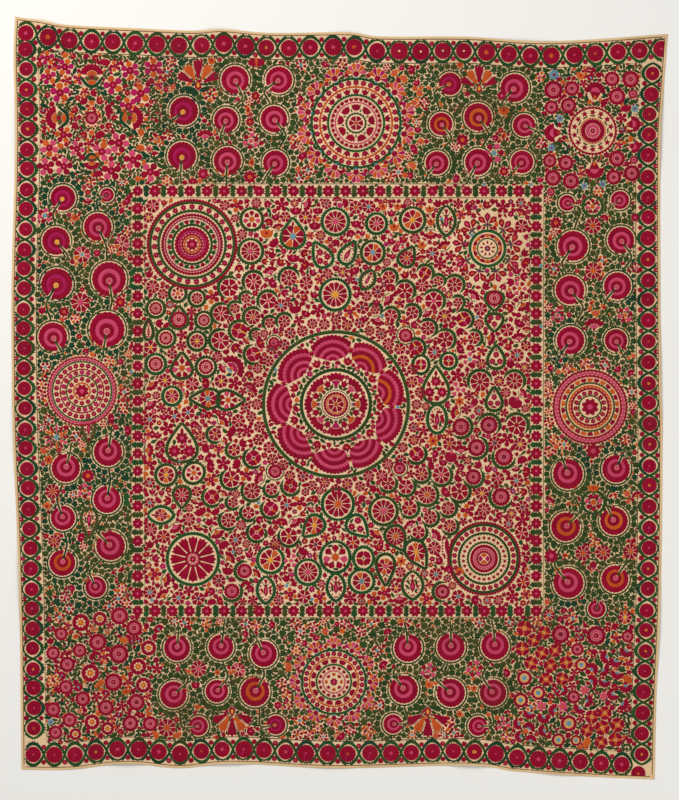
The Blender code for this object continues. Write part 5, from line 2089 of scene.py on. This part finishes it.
def panelSide(number, side):
    inset, gap = groundCloth["inset"], groundCloth["seamGap"] / 2
    if side == "left":
        return (lambda y: leftX(y) + inset) if number == 0 else (lambda y: seamX(number - 1, y) + gap)
    return (lambda y: rightX(y) - inset) if number == 3 else (lambda y: seamX(number, y) - gap)


def settledPoints(left, right, across, up):
    y = clothShape["seamBottom"] + (clothShape["seamTop"] - clothShape["seamBottom"]) * up
    for _ in range(5):                                  # x and y follow each other to their places
        x = left(y) + (right(y) - left(y)) * across
        low, high = bottomY(x) + groundCloth["inset"], topY(x) - groundCloth["inset"]
        y = low + (high - low) * up
    return x, y


def panelTop(x, y, number):
    height = clothLift(x, y) + groundCloth["thickness"]
    for seam in range(3):
        if seam in (number - 1, number):
            near = np.abs(x - seamX(seam, y)) / groundCloth["seamDipWidth"]
            height = height - groundCloth["seamDip"] * np.exp(-near * near)
    drawn = np.sin(x * 171.0 + 3.1 * np.sin(y * 83.0)) * np.sin(y * 159.0 + 2.7 * np.sin(x * 91.0))
    return height - groundCloth["pucker"] * (0.5 + 0.5 * drawn) * 0.6


def buildPanel(number, look):
    left, right = panelSide(number, "left"), panelSide(number, "right")
    step = groundCloth["weaveStep"]
    columns = max(int((float(right(0.0)) - float(left(0.0))) / step), 4)
    rows = int(2.62 / step)
    shares = np.concatenate(([0, 0.15 / columns, 0.5 / columns], np.arange(1, columns) / columns,
                             [1 - 0.5 / columns, 1 - 0.15 / columns, 1]))
    across, up = np.meshgrid(shares, np.linspace(0, 1, rows + 1))
    x, y = settledPoints(left, right, across.ravel(), up.ravel())
    n, wide = len(x), len(shares)
    top = np.column_stack((x, y, panelTop(x, y, number)))
    under = np.column_stack((x, y, clothLift(x, y)))
    grid = np.arange(n).reshape(rows + 1, wide)
    a, b, c, d = grid[:-1, :-1].ravel(), grid[:-1, 1:].ravel(), grid[1:, 1:].ravel(), grid[1:, :-1].ravel()
    rim = np.concatenate((grid[0, :], grid[1:, -1], grid[-1, -2::-1], grid[-2:0:-1, 0]))
    after = np.roll(rim, -1)
    quads = np.vstack((np.column_stack((a, b, c, d)), np.column_stack((a, d, c, b)) + n,
                       np.column_stack((rim + n, after + n, after, rim))))
    mesh = meshFrom(look["name"], np.vstack((top, under)), quads, np.zeros((0, 3), int))
    mesh.shade_smooth()
    mesh.set_sharp_from_angle(angle=math.radians(50))
    cloth = clothMaterial(look["name"], look["colour"], look["shadeAndBlotch"])
    piece = addPiece(look["name"], mesh, cloth)
    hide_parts(look["node"])
    widest = float(np.max(top[:, 0]) - np.min(top[:, 0]))
    longest = float(np.max(top[:, 1]) - np.min(top[:, 1]))
    return piece, (widest, longest), polygonArea(top[rim, 0], top[rim, 1])


def polygonArea(x, y):
    return 0.5 * abs(float(np.dot(x, np.roll(y, -1)) - np.dot(y, np.roll(x, -1))))


# Edging: a folded cotton tape round the outside
edging = {
    # the second colour is the darker tone for painted weave shade and random blotches
    "width": 8.0 * mm, "thickness": 2.2 * mm, "colour": (226, 194, 146), "shadeAndBlotch": (190, 152, 102),
    "step": 10 * mm,
    "profile": [(0.0, 0.0), (0.0, 0.55), (0.06, 0.85), (0.22, 1.0), (0.70, 0.96), (0.94, 0.72), (1.0, 0.40),
                (1.0, 0.0)],
}


def buildEdging(name, path, inward):
    # the profile's first number runs from the cloth's edge inwards, the second from the underside up
    profile = edging["profile"]
    path = np.asarray(path, float)
    rings = []
    for share, high in profile:
        x = path[:, 0] + inward[:, 0] * share * edging["width"]
        y = path[:, 1] + inward[:, 1] * share * edging["width"]
        rings.append(np.column_stack((x, y, clothLift(x, y) + high * edging["thickness"])))
    m, k = len(path), len(profile)
    points = np.vstack(rings)
    i = np.arange(m - 1)
    sides = [(ring * m + i, (ring + 1) % k * m + i) for ring in range(k)]
    quads = np.vstack([np.column_stack((low, low + 1, high + 1, high)) for low, high in sides])
    ends = [np.arange(k) * m, (np.arange(k) * m + m - 1)[::-1]]
    tris = np.vstack([np.column_stack((np.full(k - 2, end[0]), end[1:-1], end[2:])) for end in ends])
    mesh = meshFrom("edging_tape_" + name, points, quads, tris)
    mesh.shade_smooth()
    mesh.set_sharp_from_angle(angle=math.radians(50))
    piece = addPiece("edging_tape_" + name, mesh,
                     clothMaterial("edging_tape_" + name, edging["colour"], edging["shadeAndBlotch"]))
    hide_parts("edging_" + name)
    return piece


def edgingPath(name):
    inset = groundCloth["inset"]
    if name in ("top", "bottom"):
        ends = clothShape[name + "Edge"]
        x = np.linspace(ends[0][0], ends[-1][0], int(2.26 / edging["step"]))
        y = topY(x) if name == "top" else bottomY(x)
        inward = np.tile((0.0, -1.0 if name == "top" else 1.0), (len(x), 1))
        path = np.column_stack((x, y))
        return (path[::-1], inward[::-1]) if name == "top" else (path, inward)
    edgeX = leftX if name == "left" else rightX
    low = float(bottomY(edgeX(-1.28)) + inset)
    high = float(topY(edgeX(1.26)) - inset)
    y = np.linspace(low, high, int(2.6 / edging["step"]))
    inward = np.tile((1.0 if name == "left" else -1.0, 0.0), (len(y), 1))
    path = np.column_stack((edgeX(y), y))
    return (path[::-1], inward[::-1]) if name == "left" else (path, inward)


print("suzani: making the cloth")
edgings = {name: buildEdging(name, *edgingPath(name)) for name in ("top", "bottom", "left", "right")}
panels = [buildPanel(number, look) for number, look in enumerate(panelLooks)]


# Floor, light and camera
studio = {
    "floorColour": (232, 229, 222), "floorSize": 14.0, "cameraHeight": 8.0, "frameHeight": 800 * 3.47 * mm,
    "aimX": -0.0005, "aimY": -0.0068, "worldStrength": 0.42, "keyPower": 330.0, "fillPower": 140.0,
}


def buildFloor():
    mesh = bpy.data.meshes.new("floor")
    half, low = studio["floorSize"] / 2, -0.0004         # just under the cloth
    corners = [(-half, -half, low), (half, -half, low), (half, half, low), (-half, half, low)]
    mesh.from_pydata(corners, [], [(0, 1, 2, 3)])
    floor = addObject("floor", mesh)
    material, tree, shader = newMaterial("floor", 0.85, 0.0, (1, 1, 1, 1))
    shader.inputs["Base Color"].default_value = linear(studio["floorColour"])
    mesh.materials.append(material)


def addLight(name, place, aim, power, size):
    light = bpy.data.lights.new(name, "AREA")
    light.shape, light.size, light.energy = "SQUARE", size, power
    lamp = addObject(name, light)
    lamp.location = place
    direction = [a - p for a, p in zip(aim, place)]
    lamp.rotation_euler = (math.atan2(math.hypot(direction[0], direction[1]), -direction[2]), 0.0,
                           math.atan2(direction[1], direction[0]) - math.pi / 2)


def buildCamera():
    camera = bpy.data.cameras.new("camera")
    camera.sensor_width = 36.0
    camera.lens = camera.sensor_width * studio["cameraHeight"] / studio["frameHeight"]
    camera.clip_end = 60.0
    viewer = addObject("camera", camera)
    viewer.location = (studio["aimX"], studio["aimY"], studio["cameraHeight"])
    bpy.context.scene.camera = viewer


buildFloor()

world = bpy.data.worlds.new("studio") if bpy.context.scene.world is None else bpy.context.scene.world
bpy.context.scene.world = world
world.use_nodes = True
background = world.node_tree.nodes.get("Background")
background.inputs["Color"].default_value = (0.95, 0.97, 1.0, 1.0)
background.inputs["Strength"].default_value = studio["worldStrength"]
addLight("key", (-3.2, 3.4, 5.2), (0, 0, 0), studio["keyPower"], 3.2)
addLight("fill", (3.6, -2.6, 5.0), (0, 0, 0), studio["fillPower"], 4.0)
buildCamera()
bpy.context.scene.view_settings.view_transform = "Standard"

print("suzani: ready")
